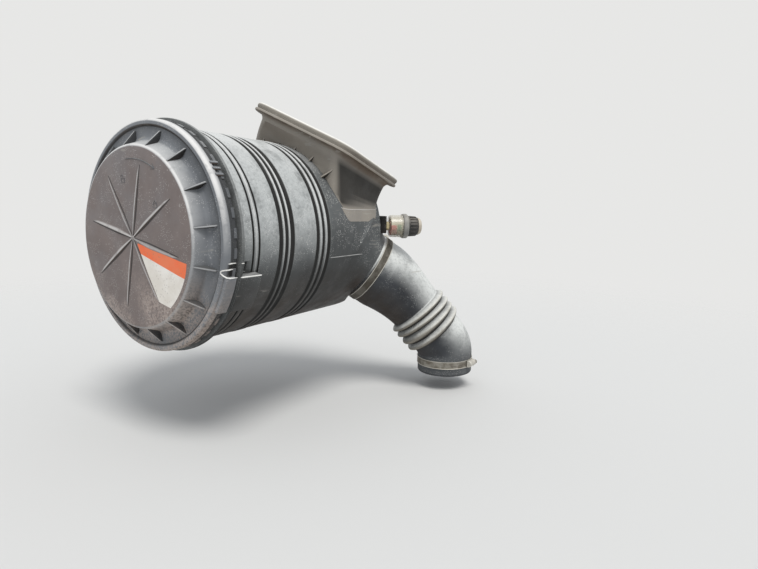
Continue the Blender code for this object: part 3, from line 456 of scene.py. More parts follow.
def steel(name, colour, stain, rough=0.35, stained=0.8, metallic=1.0):
    """Brushed steel with dull stains and a painted highlight on its painted edges."""
    p = Paint(name, rough, metallic)
    brushed = p.noise(80.0, 5.0, 0.6, (1.0, 1.0, 12.0))
    base = p.mix(p.span(brushed, 0.3, 0.7), tone(colour), [c * 0.72 for c in tone(colour)])
    base = p.coat(base, stain, p.cloud(45.0, 6.0, 0.38, 0.62, rough=0.65), stained)
    # painted highlight where edges are painted
    base = p.coat(base, "d8d5cc", p.attribute("edge"))
    return p.done(base, p.cloud(60.0, 5.0, 0.3, 0.7, rough, rough + 0.3), p.bump(brushed, 0.05 * MM))


def plain(name, colour, second, scale, rough, bump=0.08, dust=None):
    """A small part's plastic, paint or paper with two mottled tones and dust on top."""
    p = Paint(name, rough)
    base = p.mottle(colour, second, scale, rough=0.6)
    if dust:
        base = p.coat(base, dust, p.span(p.axis(p.normal, 2), -0.1, 0.9), p.cloud(40.0, 6.0, 0.3, 0.65), 0.6)
        base = p.coat(base, "b5b1a8", p.speckle(300.0, 0.32, 0.5), 0.6)
    return p.done(base, p.cloud(70.0, 4.0, 0.3, 0.7, rough - 0.08, rough + 0.15),
                  p.bump(p.noise(scale * 6, 3.0), bump * MM))


def label_paint():
    """Blank orange and white label, faded and scuffed."""
    p = Paint("label_vinyl", 0.45)
    base = p.mix(p.span(p.attribute("split"), 0.497, 0.503), p.mottle("f56f3f", "ec8156", 24.0),
                 p.mottle("f3efe8", "e2dcd2", 30.0))
    base = p.coat(base, "8a8178", p.speckle(260.0, 0.36, 0.5), 0.35)
    base = p.coat(base, "9d958a", p.cloud(75.0, 3.0, 0.66, 0.74, rough=0.5, stretch=(1.0, 0.3, 1.6)), 0.3)
    return p.done(base, p.cloud(50.0, 4.0, 0.3, 0.7, 0.35, 0.6), p.bump(p.noise(300.0, 2.0), 0.05 * MM))


def clear_paint():
    """Clouded clear plastic: see-through, with yellowed and dusty patches."""
    p = Paint("indicator_clear", 0.16, 0.0, 0.5)
    haze = p.cloud(60.0, 5.0, 0.3, 0.7)
    dust = p.times(p.span(p.axis(p.normal, 2), 0.0, 0.9), 0.8)
    colour = p.coat(p.mix(haze, tone("e6e2d2"), tone("c9c3b0")), "c6c2b7", dust)
    p.set(Alpha=p.span(p.times(p.times(haze, 0.4), dust, "ADD"), 0.0, 1.0, 0.16, 0.7))
    return p.done(colour, p.cloud(90.0, 4.0, 0.3, 0.7, 0.12, 0.4), p.bump(p.noise(150.0, 2.0), 0.05 * MM))


def gauge_paint():
    """Printed scale with a red and a green field."""
    p = Paint("gauge_print", 0.5)
    base = p.mottle("ddd5bb", "c8bea2", 60.0, 4.0)
    base = p.coat(base, "c9403f", p.attribute("red"))
    base = p.coat(base, "2f7d55", p.attribute("green"))
    return p.done(base, None, p.bump(p.noise(200.0, 2.0), 0.04 * MM))


# Housing: the canister with its grooves, ring, locking pad, feet and outlet

SEGMENTS = 160
# station of the middle and width, mm
GROOVES = [(77.3, 3.4), (88.5, 3.4), (132.2, 7.4), (144.4, 6.0), (156.9, 8.4),
           (216.0, 7.2), (229.8, 5.6), (243.6, 7.2)]
GROOVE_DEPTH, GROOVE_REACH, GROOVES_END = 2.4 * MM, 1.25, 250 * MM
RIDGES = (82.9, 138.7, 149.8, 222.8, 236.5)               # stations of the thin raised lines, mm
RIDGE_RISE, RIDGE_WIDTH = 0.7 * MM, 2.2 * MM
BACK_START = SHELL_END - 9 * MM                           # where the wall turns into the back
PAD_FROM, PAD_TO, PAD_END, PAD_RISE = -34.0, -15.5, 87 * MM, 1.5 * MM
WINDOW_FROM, WINDOW_TO, WINDOW_START, WINDOW_END = -14.5, -9.5, 54 * MM, 66 * MM
PART_LINE_ANGLE, PART_LINE_START, PART_LINE_END, PART_LINE_RISE = -13.0, 252 * MM, 389 * MM, 1.2 * MM
FOOT_HALF, FOOT_LONG = 22 * MM, 48 * MM
DUCT_START, DUCT_END, DUCT_BACK_Y, DUCT_BACK_Z = 273 * MM, 392 * MM, 55 * MM, 150 * MM
DUCT_FRONT_ANGLE, FOOT_SINK, FOOT_BAND, INLET_INSET = 12.5, 20 * MM, 11 * MM, 7 * MM


def shell_relief(station):
    """How far grooves and ridges move the shell's surface at a station."""
    shift = 0.0
    for middle, width in GROOVES:
        offset = abs(station - middle * MM) / (width * MM / 2)
        shift -= GROOVE_DEPTH * clamp(2.2 * (1.0 - offset / GROOVE_REACH))
    for middle in RIDGES:
        offset = abs(station - middle * MM) / (RIDGE_WIDTH / 2)
        shift += RIDGE_RISE * max(0.0, 1 - offset * offset)
    return shift


def shell_stations():
    """Stations where the shell needs points, none closer than 0.35 mm."""
    stops = {RING_END + 2 * MM, BACK_START}
    for middle, width in GROOVES:
        stops |= {middle * MM + share * width * MM / 2
                  for share in (-GROOVE_REACH, -1.02, -0.79, -0.4, 0.0, 0.4, 0.79, 1.02, GROOVE_REACH)}
    for middle in RIDGES:
        stops |= {middle * MM + share * RIDGE_WIDTH / 2 for share in (-1.0, -0.5, 0.0, 0.5, 1.0)}
    stops |= {RING_START + k * 30 * MM for k in range(1, 12)}
    kept = [min(stops)]
    for stop in sorted(stops):
        if stop - kept[-1] > 0.35 * MM and stop < BACK_START + MM:
            kept.append(stop)
    return kept


def shell_outline():
    start = RING_END + 2 * MM
    points = rounded([(COLLAR_START, 0, 0), (COLLAR_START, COLLAR_R, MM), (RING_START, COLLAR_R, 0.5 * MM),
                      (RING_START, RING_R, MM), (RING_END, RING_R, 1.2 * MM),
                      (RING_END, shell_radius(RING_END), MM), (start, shell_radius(start), 0)])
    points += [(s, shell_radius(s) + shell_relief(s)) for s in shell_stations()[1:]]
    rim = shell_radius(SHELL_END)
    return points + rounded([(BACK_START, rim, 0), (SHELL_END, rim, 6 * MM), (SHELL_END, 0, 0)], 6)


def cavity_outline():
    back, mouth = SHELL_END - WALL, COLLAR_R - WALL
    deep = GROOVE_DEPTH + 1.2 * MM
    return capped([(COLLAR_START - 10 * MM, mouth), (RING_END, mouth),
                   (RING_END + 10 * MM, shell_radius(RING_END) - deep - 1.5 * MM),
                   (back - 16 * MM, shell_radius(back) - deep),
                   (back, shell_radius(back) - 16 * MM - deep)])


def corner_turns(corners):
    """Each corner with the ways to its neighbours, half its angle and the way inward."""
    for i, corner in enumerate(corners):
        before = (corners[i - 1] - corner).normalized()
        after = (corners[(i + 1) % len(corners)] - corner).normalized()
        yield corner, before, after, before.angle(after) / 2, (before + after).normalized()


def rounded_quad(corners, radii, steps=10):
    points = []
    for (corner, before, after, half, inward), radius in zip(corner_turns(corners), radii):
        centre = corner + inward * radius / math.sin(half)
        start = corner + before * radius / math.tan(half) - centre
        stop = corner + after * radius / math.tan(half) - centre
        swing, pivot = start.angle(stop), start.cross(stop)
        points += [centre + Matrix.Rotation(swing * k / steps, 3, pivot) @ start for k in range(steps + 1)]
    return points


def foot_ring(inset, height):
    """Outline of the inlet duct where it meets the shell, in a plane that tilts to the front."""
    near, far = (radial(DUCT_FRONT_ANGLE, shell_radius(x)) for x in (DUCT_START, DUCT_END))
    x0, x1, back = DUCT_START + inset, DUCT_END - inset, DUCT_BACK_Y - inset
    top, low = DUCT_BACK_Z + height, far.z + height
    corners = [Vector((x0, back, top)), Vector((x1, back, top)),
               Vector((x1, far.y + inset, low)), Vector((x0, near.y + inset, low))]
    small, sweep = 20 * MM - 0.6 * inset, 30 * MM - 0.6 * inset
    return rounded_quad(corners, [small, small, small, sweep])


def make_housing(mat, bright_edges):
    housing = turned("housing_shell", shell_outline(), SEGMENTS)
    out = frame_along(OUTLET_AXIS, OUTLET_POINT)
    pad = arc_block("pad", (SHELL_R - 6 * MM, RING_R + PAD_RISE), (RING_START + MM, PAD_END),
                    (PAD_FROM, PAD_TO))
    adds = [bevel(pad, 1.2 * MM, 3)]
    for x in FOOT_STATIONS:
        for z in (-FOOT_Z, FOOT_Z):
            foot = box("foot", (x - FOOT_HALF, FOOT_FACE - FOOT_LONG, z - FOOT_HALF),
                       (x + FOOT_HALF, FOOT_FACE, z + FOOT_HALF))
            adds.append(bevel(foot, 2 * MM))
    room = capped([(LIP_THICK - MM, LIP_R + 1.5 * MM), (40 * MM, LIP_R + 41.5 * MM)])
    cone = capped([(CONE_ROOT, CONE_R), (CONE_BACK, CONE_R), (0.0, LIP_R), (LIP_THICK, LIP_R - MM),
                   (LIP_THICK, SPIGOT_R), (SPIGOT_END, SPIGOT_R)])
    bore = capped([(CONE_ROOT + 8 * MM, CONE_R - 5 * MM), (CONE_BACK - 2 * MM, CONE_R - 5 * MM),
                   (-LIP_THICK, SPIGOT_R - WALL), (SPIGOT_END + 10 * MM, SPIGOT_R - WALL)])
    inlet = loft("inlet", [foot_ring(INLET_INSET, -FOOT_SINK), foot_ring(INLET_INSET, SHELL_R / 2)])
    window = arc_block("window", (shell_radius(WINDOW_END) - 2.2 * MM, RING_R + 5 * MM),
                       (WINDOW_START, WINDOW_END), (WINDOW_FROM, WINDOW_TO))
    half_step = Matrix.Rotation(math.pi / SEGMENTS, 4, "X")
    for operation, other in (("UNION", merge("adds", adds)),
                             ("DIFFERENCE", turned("room", room, 101, out)),
                             ("UNION", turned("cone", cone, 120, out)),
                             ("DIFFERENCE", turned("cavity", cavity_outline(), SEGMENTS, half_step)),
                             ("DIFFERENCE", turned("bore", bore, 91, out)),
                             ("DIFFERENCE", merge("cuts", [inlet, window]))):
        boolean(housing, operation, other)
    smooth(housing.data, 28)

    def groove(vert):
        """Painted shade in the grooves, on collar and ring, round the locking window and along the locking
        pad's side.
        """
        x, r, a = canister_point(vert)
        if x < RING_START:
            return 0.6
        if x < RING_END + MM:
            return 0.5
        if WINDOW_FROM < a < WINDOW_TO and WINDOW_START - MM < x < WINDOW_END + MM:
            return 0.6
        if abs(a - PAD_TO) < 0.5 and x < PAD_END + MM and r > shell_radius(x) - 0.2 * MM:
            return 0.8
        if not 0.12 <= r <= shell_radius(x) or x >= GROOVES_END:
            return 0.0
        return min(1.0, (shell_radius(x) - r) / (0.35 * GROOVE_DEPTH))

    def edge(vert):
        """Painted highlight on the ridges, less so underneath."""
        x, r, a = canister_point(vert)
        if not -0.1 * MM < r - shell_radius(x) < 1.2 * MM:
            return 0.0
        upper = clamp(math.sin(math.radians(a)) + 0.6, 0.12)
        return upper * max(0.0, max(1 - abs(x - m * MM) / (0.62 * RIDGE_WIDTH) for m in RIDGES))

    paint(housing, groove=groove, edge=edge)
    dress(housing, "base", "housing_plastic", mat, "housing")

    rings = []
    for k in range(15):
        x = PART_LINE_START + (PART_LINE_END - PART_LINE_START) * k / 14
        low = shell_radius(x) - 0.6 * MM
        high = shell_radius(x) + PART_LINE_RISE * min(1.0, 0.25 + k / 3)
        rings.append([radial(PART_LINE_ANGLE + side, r, x)
                      for side, r in ((-0.42, low), (0.42, low), (0.1, high), (-0.1, high))])
    line = loft("housing_part_line", rings)

    def crest(vert):
        x, r, _ = canister_point(vert)
        return 0.35 if r > shell_radius(x) else 0.0

    # painted highlight along the crest of the parting line
    paint(line, edge=crest)
    dress(line, "base", "housing_plastic", mat)

    # edges of the locking pad and its window, worn bright
    top, start, stop = RING_R + PAD_RISE - 0.3 * MM, 49.2 * MM, PAD_END - 0.5 * MM
    along_pad = [radial(PAD_TO - 0.15, top, start + (stop - start) * k / 12) for k in range(13)]
    upper = [radial(-9.2, RING_R + 0.1 * MM, x * MM) for x in (47.8, 50.0, 52.5)]
    lips = merge("housing_pad_edges", [bead("lip", along_pad, MM), bead("lip", upper, 0.8 * MM)])
    dress(lips, "base", "housing_plastic", bright_edges)


# Cover: dished face with spokes and gussets, fat rim, toothed skirt

SPOKES, SPOKE_FIRST, SPOKE_START, SPOKE_END, SPOKE_RISE = 8, -12.0, 2.5 * MM, 103 * MM, 1.55 * MM
GUSSETS, GUSSET_FIRST = 16, 8.5
GRIP_ANGLES = (38.2, 35.0, 31.8)
TEETH, TOOTH_FIRST, TOOTH_HALF = 39, 78.3, 2.3
SKIRT_BACK = SKIRT_R - 6.5 * MM                           # radius past which a point is on the skirt
# corners of the section: station, radius, rounding
FACE_POINTS = [(0, 0, 0), (0, 0.108, 12 * MM), (0.9 * MM, 0.122, 10 * MM), (1.6 * MM, FACE_R, 5 * MM),
               (FLANGE_STATION - 2 * MM, 0.1355, 6 * MM)]
FACE_LINE = rounded(FACE_POINTS, 5)
# the same past the flange: station from it, radius, rounding, mm
RIM_POINTS = [(0.5, 140.5, 4), (1.2, 155.5, 2.5), (-1.8, 158.5, 2), (-1, 166.0, 6), (8.4, 166.5, 3),
              (9.6, 164.9, 0.6), (12.2, 164.9, 0.4), (12.6, 165.8, 0.3), (13.6, 165.8, 0.3),
              (14, 164.7, 0.4)]
# worn edges of the lock pad's slot: angle, radius, station, mm
SLOT_EDGE = [(-12.0, 165.2, 42.4), (-12.0, 165.5, 34.0), (-12.0, 166.9, 31.0), (-12.0, 166.9, 27.0),
             (-12.1, 166.0, 24.0), (-12.5, 163.6, 22.2), (-13.2, 161.4, 21.8), (-14.0, 162.2, 21.8),
             (-14.7, 166.0, 23.2), (-15.2, 170.4, 26.0), (-15.4, 171.5, 30.0), (-15.4, 171.5, 42.3)]
UPPER_EDGE = [(-9.2, 166.8, 28.5), (-9.2, 166.8, 32.0), (-9.2, 165.6, 34.5), (-9.2, 165.3, 42.4)]
# corners of the blank label on the face: angle, radius; the sides from the second to the fifth curve
LABEL = [(-36.0, 0.011), (-13.6, 0.1195), (-20.7, 0.1212), (-34.0, 0.1212), (-48.9, 0.1204), (-57.9, 0.0993)]
LABEL_SPLIT = ((-45.7, 0.0316), (-23.5, 0.1211))          # where orange ends and white starts
MARK_R, MARK_FROM, MARK_TO = 109.5 * MM, 95.7, 59.5       # the arrow's radius and angles
PADLOCKS = ((102.8, 82.5 * MM, 1.0), (40.9, 71.6 * MM, 0.0))    # angle, radius, how far open


def cover_outline():
    f, inner = FLANGE_STATION, SKIRT_R - 3.5 * MM
    rim = [(f + x * MM, r * MM, corner * MM) for x, r, corner in RIM_POINTS]
    back = [(SKIRT_END, 164.7 * MM, 0.5 * MM), (SKIRT_END, inner, 0.5 * MM), (f + 7 * MM, inner, 0),
            (f + 5 * MM, PILOT_R, 0), (PILOT_END, PILOT_R, 0), (PILOT_END, PILOT_R - 3 * MM, 0),
            (f + 3.6 * MM, PILOT_R - 3 * MM, 0), (f + 3.6 * MM, 0.134, 0), (7 * MM, 0.1264, 0),
            (4 * MM, 0.122, 0), (4 * MM, 0, 0)]
    return rounded(FACE_POINTS + rim + back, 5)


def face_station(radius):
    """Station of the face's surface at a radius."""
    for (x0, r0), (x1, r1) in zip(FACE_LINE, FACE_LINE[1:]):
        if r0 <= radius <= r1:
            return x0 + (x1 - x0) * (radius - r0) / max(r1 - r0, 1e-9)
    return 0.0


def spoke(angle):
    """A sharp moulded crease that starts at the hub and fades out at its far end."""
    side = 1 if 0 < angle < 150 else -1                   # the side that catches the light
    rings = []
    for k in range(17):
        t = k / 16
        y = SPOKE_START + (SPOKE_END - SPOKE_START) * t
        half = (2.2 + 3.6 * min(1.0, 3 * t) - 3.0 * t * t) * MM
        rise = SPOKE_RISE * min(1.0, 0.55 + 2 * t) * (1 - t ** 4)
        section = [(0.4 * MM, half), (0.02 * MM, half), (-0.55 * rise, 0.55 * half), (-rise, 0.14 * half),
                   (-rise, 0.0), (-0.12 * MM, -0.2 * half), (-0.1 * MM, -0.58 * half),
                   (0.4 * MM, -0.62 * half)]
        rings.append([Vector((x, -y, side * w)) for x, w in section])
    ridge = loft("spoke", rings, spin(angle), sharp_angle=20)

    def across(vert):
        """Offset to the light side in units of 2.5 mm, and station."""
        point = local(vert, CANISTER @ spin(angle))
        return side * point.z / (2.5 * MM), point.x

    def flank(vert):
        share, x = across(vert)
        return 0.6 if share > 0.1 and x < -0.2 * MM else 0.0

    # painted shade on the spoke's shaded side and a painted highlight on its lit flank
    paint(ridge, groove=lambda vert: 0.75 if across(vert)[0] < -0.1 else 0.0, edge=flank)
    return ridge


def paint_fins(fins, first, pitch, dark, bright_edges):
    """Painted shade on the flanks and a painted highlight on the outer edges of fins that stand at a regular
    pitch.
    """
    def off_middle(vert):
        _, r, a = canister_point(vert)
        turn = (a - first + pitch / 2) % pitch - pitch / 2
        return abs(math.radians(turn) * r)

    paint(fins, groove=lambda vert: dark if off_middle(vert) > 1.1 * MM else 0.0,
          edge=lambda vert: bright_edges if off_middle(vert) < 0.95 * MM else 0.0)


def face_marks():
    """Moulded signs on the face: a turning arrow between an open and a closed padlock."""
    lift, thick = 0.15 * MM, 0.8 * MM

    def face_point(angle, radius):
        return radial(angle, radius, face_station(radius) - lift)

    marks = [bead("arrow", [face_point(MARK_FROM + (MARK_TO - MARK_FROM) * k / 24, MARK_R)
                            for k in range(25)], thick)]
    for side in (-1, 1):
        marks.append(bead("arrow", [face_point(MARK_TO + 4.0, MARK_R + side * 4 * MM),
                                    face_point(MARK_TO, MARK_R)], thick))
    for angle, radius, swing in PADLOCKS:
        centre = radial(angle, radius)
        body = [(-4, -3.5), (4, -3.5), (4, 2.5), (-4, 2.5), (-4, -3.5)]
        shackle = [(-2.6 - 2.5 * swing + 2.6 * (1 - math.cos(t)), 2.5 + 1.5 * swing + 3.2 * math.sin(t))
                   for t in (math.pi * k / 8 for k in range(9))]
        for line in (body, shackle):
            points = [Vector((-lift, centre.y - u * MM, centre.z + v * MM)) for u, v in line]
            marks.append(bead("lock", points, 0.4 * MM))
    return merge("cover_marks", marks)


def make_label(mat):
    """A thin blank label that follows the face, in columns from its inner corner to its rim."""
    steps, rows = 14, 36
    corners = [radial(a, r) for a, r in LABEL]
    rim = []
    for k in range(1, len(LABEL) - 1):
        (a0, r0), (a1, r1) = LABEL[k:k + 2]
        for share in (n / steps for n in range(steps)):
            curved = radial(a0 + (a1 - a0) * share, r0 + (r1 - r0) * share)
            rim.append(curved if k < 4 else corners[k].lerp(corners[k + 1], share))
    rings = []
    for point in rim + corners[-1:]:
        column = [corners[0].lerp(point, 0.02 + 0.98 * n / rows) for n in range(rows + 1)]
        top, under = ([Vector((face_station(math.hypot(p.y, p.z)) - lift, p.y, p.z)) for p in column]
                      for lift in (0.12 * MM, -0.1 * MM))
        rings.append(top + under[::-1])
    label = loft("cover_label", rings)
    start, stop = (radial(*end) for end in LABEL_SPLIT)
    across = Vector((0, -(stop - start).z, (stop - start).y)).normalized()

    def split(vert):
        point = local(vert)
        return 0.5 + (Vector((0, point.y, point.z)) - start).dot(across) * 20

    paint(label, split=split)
    dress(label, "cover", "cover_plastic", mat)


def make_cover(mat, label_mat, bright_edges):
    f = FLANGE_STATION
    cover = turned("cover_shell", cover_outline(), 180)

    def groove(vert):
        """Painted shade in the lock slot, on the skirt's end and in the valley inside the rim."""
        x, r, a = canister_point(vert)
        if x > f + 3 * MM and r > SKIRT_BACK and -15 < a < -9.5:
            return 1.0
        if x > f + 9 * MM and r > SKIRT_BACK:
            return 0.75
        valley = 1 - abs(r - 156.2 * MM) / (2.6 * MM)
        return clamp(1.2 * valley, 0.0, 0.85) if abs(x - f) < 3 * MM else 0.0

    def edge(vert):
        """Painted highlight on the edges of face and rim, most on the upper side."""
        x, r, a = canister_point(vert)
        upper = clamp(1.3 * math.sin(math.radians(a)) + 0.15)
        if x < 5 * MM:
            return min(1.0, 0.25 + 1.2 * upper) * clamp(1.5 - abs(r - FACE_R + 0.9 * MM) / (1.6 * MM))
        if x < f + 3.5 * MM and r > 162.5 * MM:
            return min(1.0, 1.3 * upper)
        return 0.35 * upper if f + 6 * MM < x < f + 9 * MM and r > 166 * MM else 0.0

    def face(vert):
        x, r, _ = canister_point(vert)
        return 1.0 if x < 5 * MM and r < FACE_R - 3 * MM else 0.0

    paint(cover, groove=groove, edge=edge, face=face)
    dress(cover, "cover", "cover_plastic", mat, "cover")

    ridges = merge("cover_spokes", [spoke(SPOKE_FIRST + 45 * k) for k in range(SPOKES)])
    hub = turned("hub", capped([(0.5 * MM, 4.2 * MM), (0.0, 3.8 * MM), (-0.8 * SPOKE_RISE, 2 * MM)]), 32)
    # a little painted shade and painted highlight on the hub
    paint(hub, groove=0.1, edge=0.2)
    ridges = merge("cover_spokes", [ridges, hub])
    paint(ridges, face=1.0)

    outline = [(5 * MM, FACE_R - 2 * MM), (3.2 * MM, FACE_R + 1.2 * MM), (f - MM, 151.5 * MM),
               (f + 2 * MM, 151.5 * MM), (f + 2 * MM, FACE_R + 3 * MM)]
    pitch = 360 / GUSSETS
    fins = merge("cover_gussets", [fin(spin(GUSSET_FIRST + pitch * k), outline, 1.5 * MM, 0.8 * MM)
                                   for k in range(GUSSETS)])
    # painted shade on the gussets' flanks and a painted highlight on their edges
    paint_fins(fins, GUSSET_FIRST, pitch, 0.8, 0.3)

    grips = [arc_block("grip", (SKIRT_R - 2 * MM, SKIRT_R + 2 * MM), (f + 6 * MM, SKIRT_END - MM),
                       (a - 0.55, a + 0.55), 0.6) for a in GRIP_ANGLES]
    grips = merge("cover_grips", [bevel(grip, 0.5 * MM) for grip in grips])
    boss = arc_block("cover_lock_pad", (SKIRT_R - 2.4 * MM, RING_R + PAD_RISE),
                     (f + 1.5 * MM, SKIRT_END - 0.2 * MM), (PAD_FROM, PAD_TO))
    bevel(boss, 2.2 * MM, 4)
    teeth = merge("cover_teeth", [arc_block("tooth", (164 * MM, 166.1 * MM),
                                            (f + 14.2 * MM, SKIRT_END - 0.4 * MM),
                                            (a - TOOTH_HALF, a + TOOTH_HALF), TOOTH_HALF)
                                  for a in (TOOTH_FIRST + 360 / TEETH * k for k in range(TEETH))])
    marks = face_marks()
    # painted shade on the teeth and on the moulded signs
    paint(teeth, groove=0.4)
    paint(marks, groove=0.45)
    for part in (ridges, fins, grips, boss, teeth, marks):
        dress(part, "cover", "cover_plastic", mat)
    lips = merge("cover_pad_edge", [bead("lip", [radial(a, r * MM, x * MM) for a, r, x in line], 0.95 * MM)
                                    for line in (SLOT_EDGE, UPPER_EDGE)])
    dress(lips, "cover", "cover_plastic", bright_edges)
    make_label(label_mat)


# Inlet duct and bulb seal

MOUTH_CORNER = Vector((0.233, 0.014, 0.232))
MOUTH_WIDTH, MOUTH_LENGTH, MOUTH_SLANT, MOUTH_SKEW = 208 * MM, 206 * MM, 29 * MM, 34 * MM
MOUTH_PITCH, MOUTH_ROLL = math.radians(21.5), math.radians(17.4)
MOUTH_CORNER_R, OVERHANG, FLANGE_THICK, SEAL_R = 34 * MM, 15 * MM, 4.5 * MM, 5.5 * MM
SEAL_DROP = 2 * SEAL_R                                    # from the top of the seal to its seat
FLARE_HEIGHT, FLARE_REACH, WALL_BEND = 10 * MM, 6 * MM, 1.8
FLARE = ((1.0, 0.0), (0.75, 0.07), (0.5, 0.22), (0.25, 0.5), (0.08, 0.8), (0.0, 1.0))   # height, reach
DUCT_WALL = 3 * MM
DUCT_GUSSETS, DUCT_GUSSET_FIRST, DUCT_GUSSET_PITCH = 5, 38.0, 14.0


def mouth_frame():
    """Ways to the front of the mouth, across it and out of it."""
    forward = Vector((0, -math.cos(MOUTH_PITCH), -math.sin(MOUTH_PITCH)))
    across = Vector((math.cos(MOUTH_ROLL), 0, 0)) + forward.cross(Vector((1, 0, 0))) * -math.sin(MOUTH_ROLL)
    normal = across.cross(forward)
    if normal.z < 0:
        normal = -normal
    return forward, across.normalized(), normal.normalized()


MOUTH_FORWARD, MOUTH_ACROSS, MOUTH_NORMAL = mouth_frame()


def mouth_ring(inset, drop, steps=10):
    """Outline of the mouth, pulled in and dropped below the top of its seal."""
    far = MOUTH_CORNER + MOUTH_ACROSS * MOUTH_WIDTH
    corners = [MOUTH_CORNER, far, far + MOUTH_FORWARD * (MOUTH_LENGTH + MOUTH_SLANT),
               MOUTH_CORNER + MOUTH_ACROSS * MOUTH_SKEW + MOUTH_FORWARD * MOUTH_LENGTH]
    moved = [corner + inward * inset / math.sin(half)
             for corner, _, _, half, inward in corner_turns(corners)]
    ring = rounded_quad(moved, [MOUTH_CORNER_R - 0.6 * inset] * 4, steps)
    return [p - MOUTH_NORMAL * drop for p in ring]


def duct_rings(inset):
    """Foot to mouth: the wall stands up first, leans out later and turns over into the flange."""
    under = SEAL_DROP + FLANGE_THICK
    foot, neck = foot_ring(inset, 0.0), mouth_ring(OVERHANG + inset, under + FLARE_HEIGHT)
    rings = [foot_ring(inset, -FOOT_SINK), foot]
    for share in (k / 9 for k in range(1, 9)):
        rings.append([Vector((*a.xy.lerp(b.xy, share ** WALL_BEND), a.z + (b.z - a.z) * share))
                      for a, b in zip(foot, neck)])
    rings += [mouth_ring(OVERHANG - FLARE_REACH * reach + inset, under + FLARE_HEIGHT * height)
              for height, reach in FLARE]
    return rings + [mouth_ring(OVERHANG - FLARE_REACH + inset, under - FLANGE_THICK / 2)]


def duct_gusset(angle):
    r, rise = shell_radius(DUCT_START), (34 if angle > 60 else 20) * MM
    root, foot = DUCT_START + 1.5 * MM, DUCT_START - 12 * MM
    outline = [(foot, r - 2 * MM), (root, r - 2 * MM), (root, r + rise), (root - 3 * MM, r + rise),
               (foot, r + MM)]
    return fin(spin(angle), outline, 1.5 * MM, 0.5 * MM)


def make_duct(mat):
    duct = loft("duct_shell", duct_rings(0.0))
    band = loft("band", [foot_ring(-2.2 * MM, -FOOT_SINK + MM), foot_ring(-2.2 * MM, FOOT_BAND - 1.2 * MM),
                         foot_ring(-MM, FOOT_BAND)])
    flange = loft("flange", [mouth_ring(1.2 * MM, SEAL_DROP + FLANGE_THICK),
                             mouth_ring(0.0, SEAL_DROP + FLANGE_THICK - MM),
                             mouth_ring(0.0, SEAL_DROP + 0.9 * MM), mouth_ring(0.9 * MM, SEAL_DROP)])
    clear = capped([(x, shell_radius(x) + GAP) for x in (0.20, 0.43)])
    gap = 1.3 * GAP
    cone = capped([(CONE_ROOT, CONE_R + gap), (CONE_BACK, CONE_R + gap), (0, LIP_R + gap),
                   (LIP_THICK + GAP, LIP_R + gap)])
    inner = [foot_ring(DUCT_WALL, -FOOT_SINK - 15 * MM)] + duct_rings(DUCT_WALL)[1:]
    inner.append([p + MOUTH_NORMAL * 10 * MM for p in inner[-1]])
    for operation, other in (
            ("UNION", band), ("UNION", flange), ("DIFFERENCE", turned("clear", clear, 180)),
            ("DIFFERENCE", turned("cone", cone, 120, frame_along(OUTLET_AXIS, OUTLET_POINT))),
            ("DIFFERENCE", loft("bore", inner))):
        boolean(duct, operation, other)
    smooth(duct.data, 28)
    seat = MOUTH_CORNER - MOUTH_NORMAL * (SEAL_DROP + FLANGE_THICK)

    def groove(vert):
        """Painted shade on the front wall, between a lighter border along its foot and the flare."""
        point = local(vert)
        drop = (seat - point).dot(MOUTH_NORMAL)
        height = point.z - radial(DUCT_FRONT_ANGLE, shell_radius(DUCT_END)).z
        faces_front = clamp((-vert.normal.y - 0.55) / 0.25)
        inside = clamp((height - FOOT_BAND - 2 * MM) / (8 * MM))
        return 0.9 * faces_front * inside * clamp((drop - 6 * MM) / (10 * MM))

    paint(duct, groove=groove)
    dress(duct, "base", "duct_plastic", mat, "inlet_duct")
    front = [p for p in foot_ring(-1.9 * MM, FOOT_BAND - 0.8 * MM) if p.y < -0.1]
    line = bead("duct_band_line", front, 0.7 * MM)
    # painted highlight along the top of the duct's foot band
    paint(line, edge=0.4)
    dress(line, "base", "duct_plastic", mat)
    fins = merge("duct_gussets", [duct_gusset(DUCT_GUSSET_FIRST + DUCT_GUSSET_PITCH * k)
                                  for k in reversed(range(DUCT_GUSSETS))])
    # painted shade on the gussets' flanks and a painted highlight on their edges
    paint_fins(fins, DUCT_GUSSET_FIRST, DUCT_GUSSET_PITCH, 0.85, 0.2)
    dress(fins, "base", "duct_plastic", mat)


def make_seal(mat):
    """Bulb seal: a soft bulb on a flat foot, pressed flat on top and a little uneven."""
    path = mouth_ring(SEAL_R, SEAL_R, 12)
    dense = []
    for a, b in zip(path, path[1:] + path[:1]):
        steps = max(1, round((b - a).length / (5 * MM)))
        dense += [a.lerp(b, k / steps) for k in range(steps)]
    middle = sum(dense, Vector()) / len(dense)
    rings = []
    for i, point in enumerate(dense):
        along = (dense[(i + 1) % len(dense)] - dense[i - 1]).normalized()
        outward = along.cross(MOUTH_NORMAL).normalized()
        if outward.dot(point - middle) < 0:
            outward = -outward
        swell = 1 + 0.05 * noise.noise(point * 38)
        section = [(-4 * MM, -SEAL_R + GAP), (4 * MM, -SEAL_R + GAP)]
        section += [(SEAL_R * swell * math.cos(t), SEAL_R * min(0.927, math.sin(t)))
                    for t in map(math.radians, range(-36, 217, 18))]
        rings.append([point + outward * u + MOUTH_NORMAL * v for u, v in section])
    seal = loft("seal_bulb", rings, wrap=True, sharp_angle=60)
    plane = MOUTH_CORNER - MOUTH_NORMAL * SEAL_R
    # painted highlight along the top of the bulb
    paint(seal, edge=lambda vert: clamp(((local(vert) - plane).dot(MOUTH_NORMAL) / SEAL_R - 0.4) / 0.3))
    dress(seal, "base", "seal_rubber", mat, "inlet_seal")


# Outlet hose

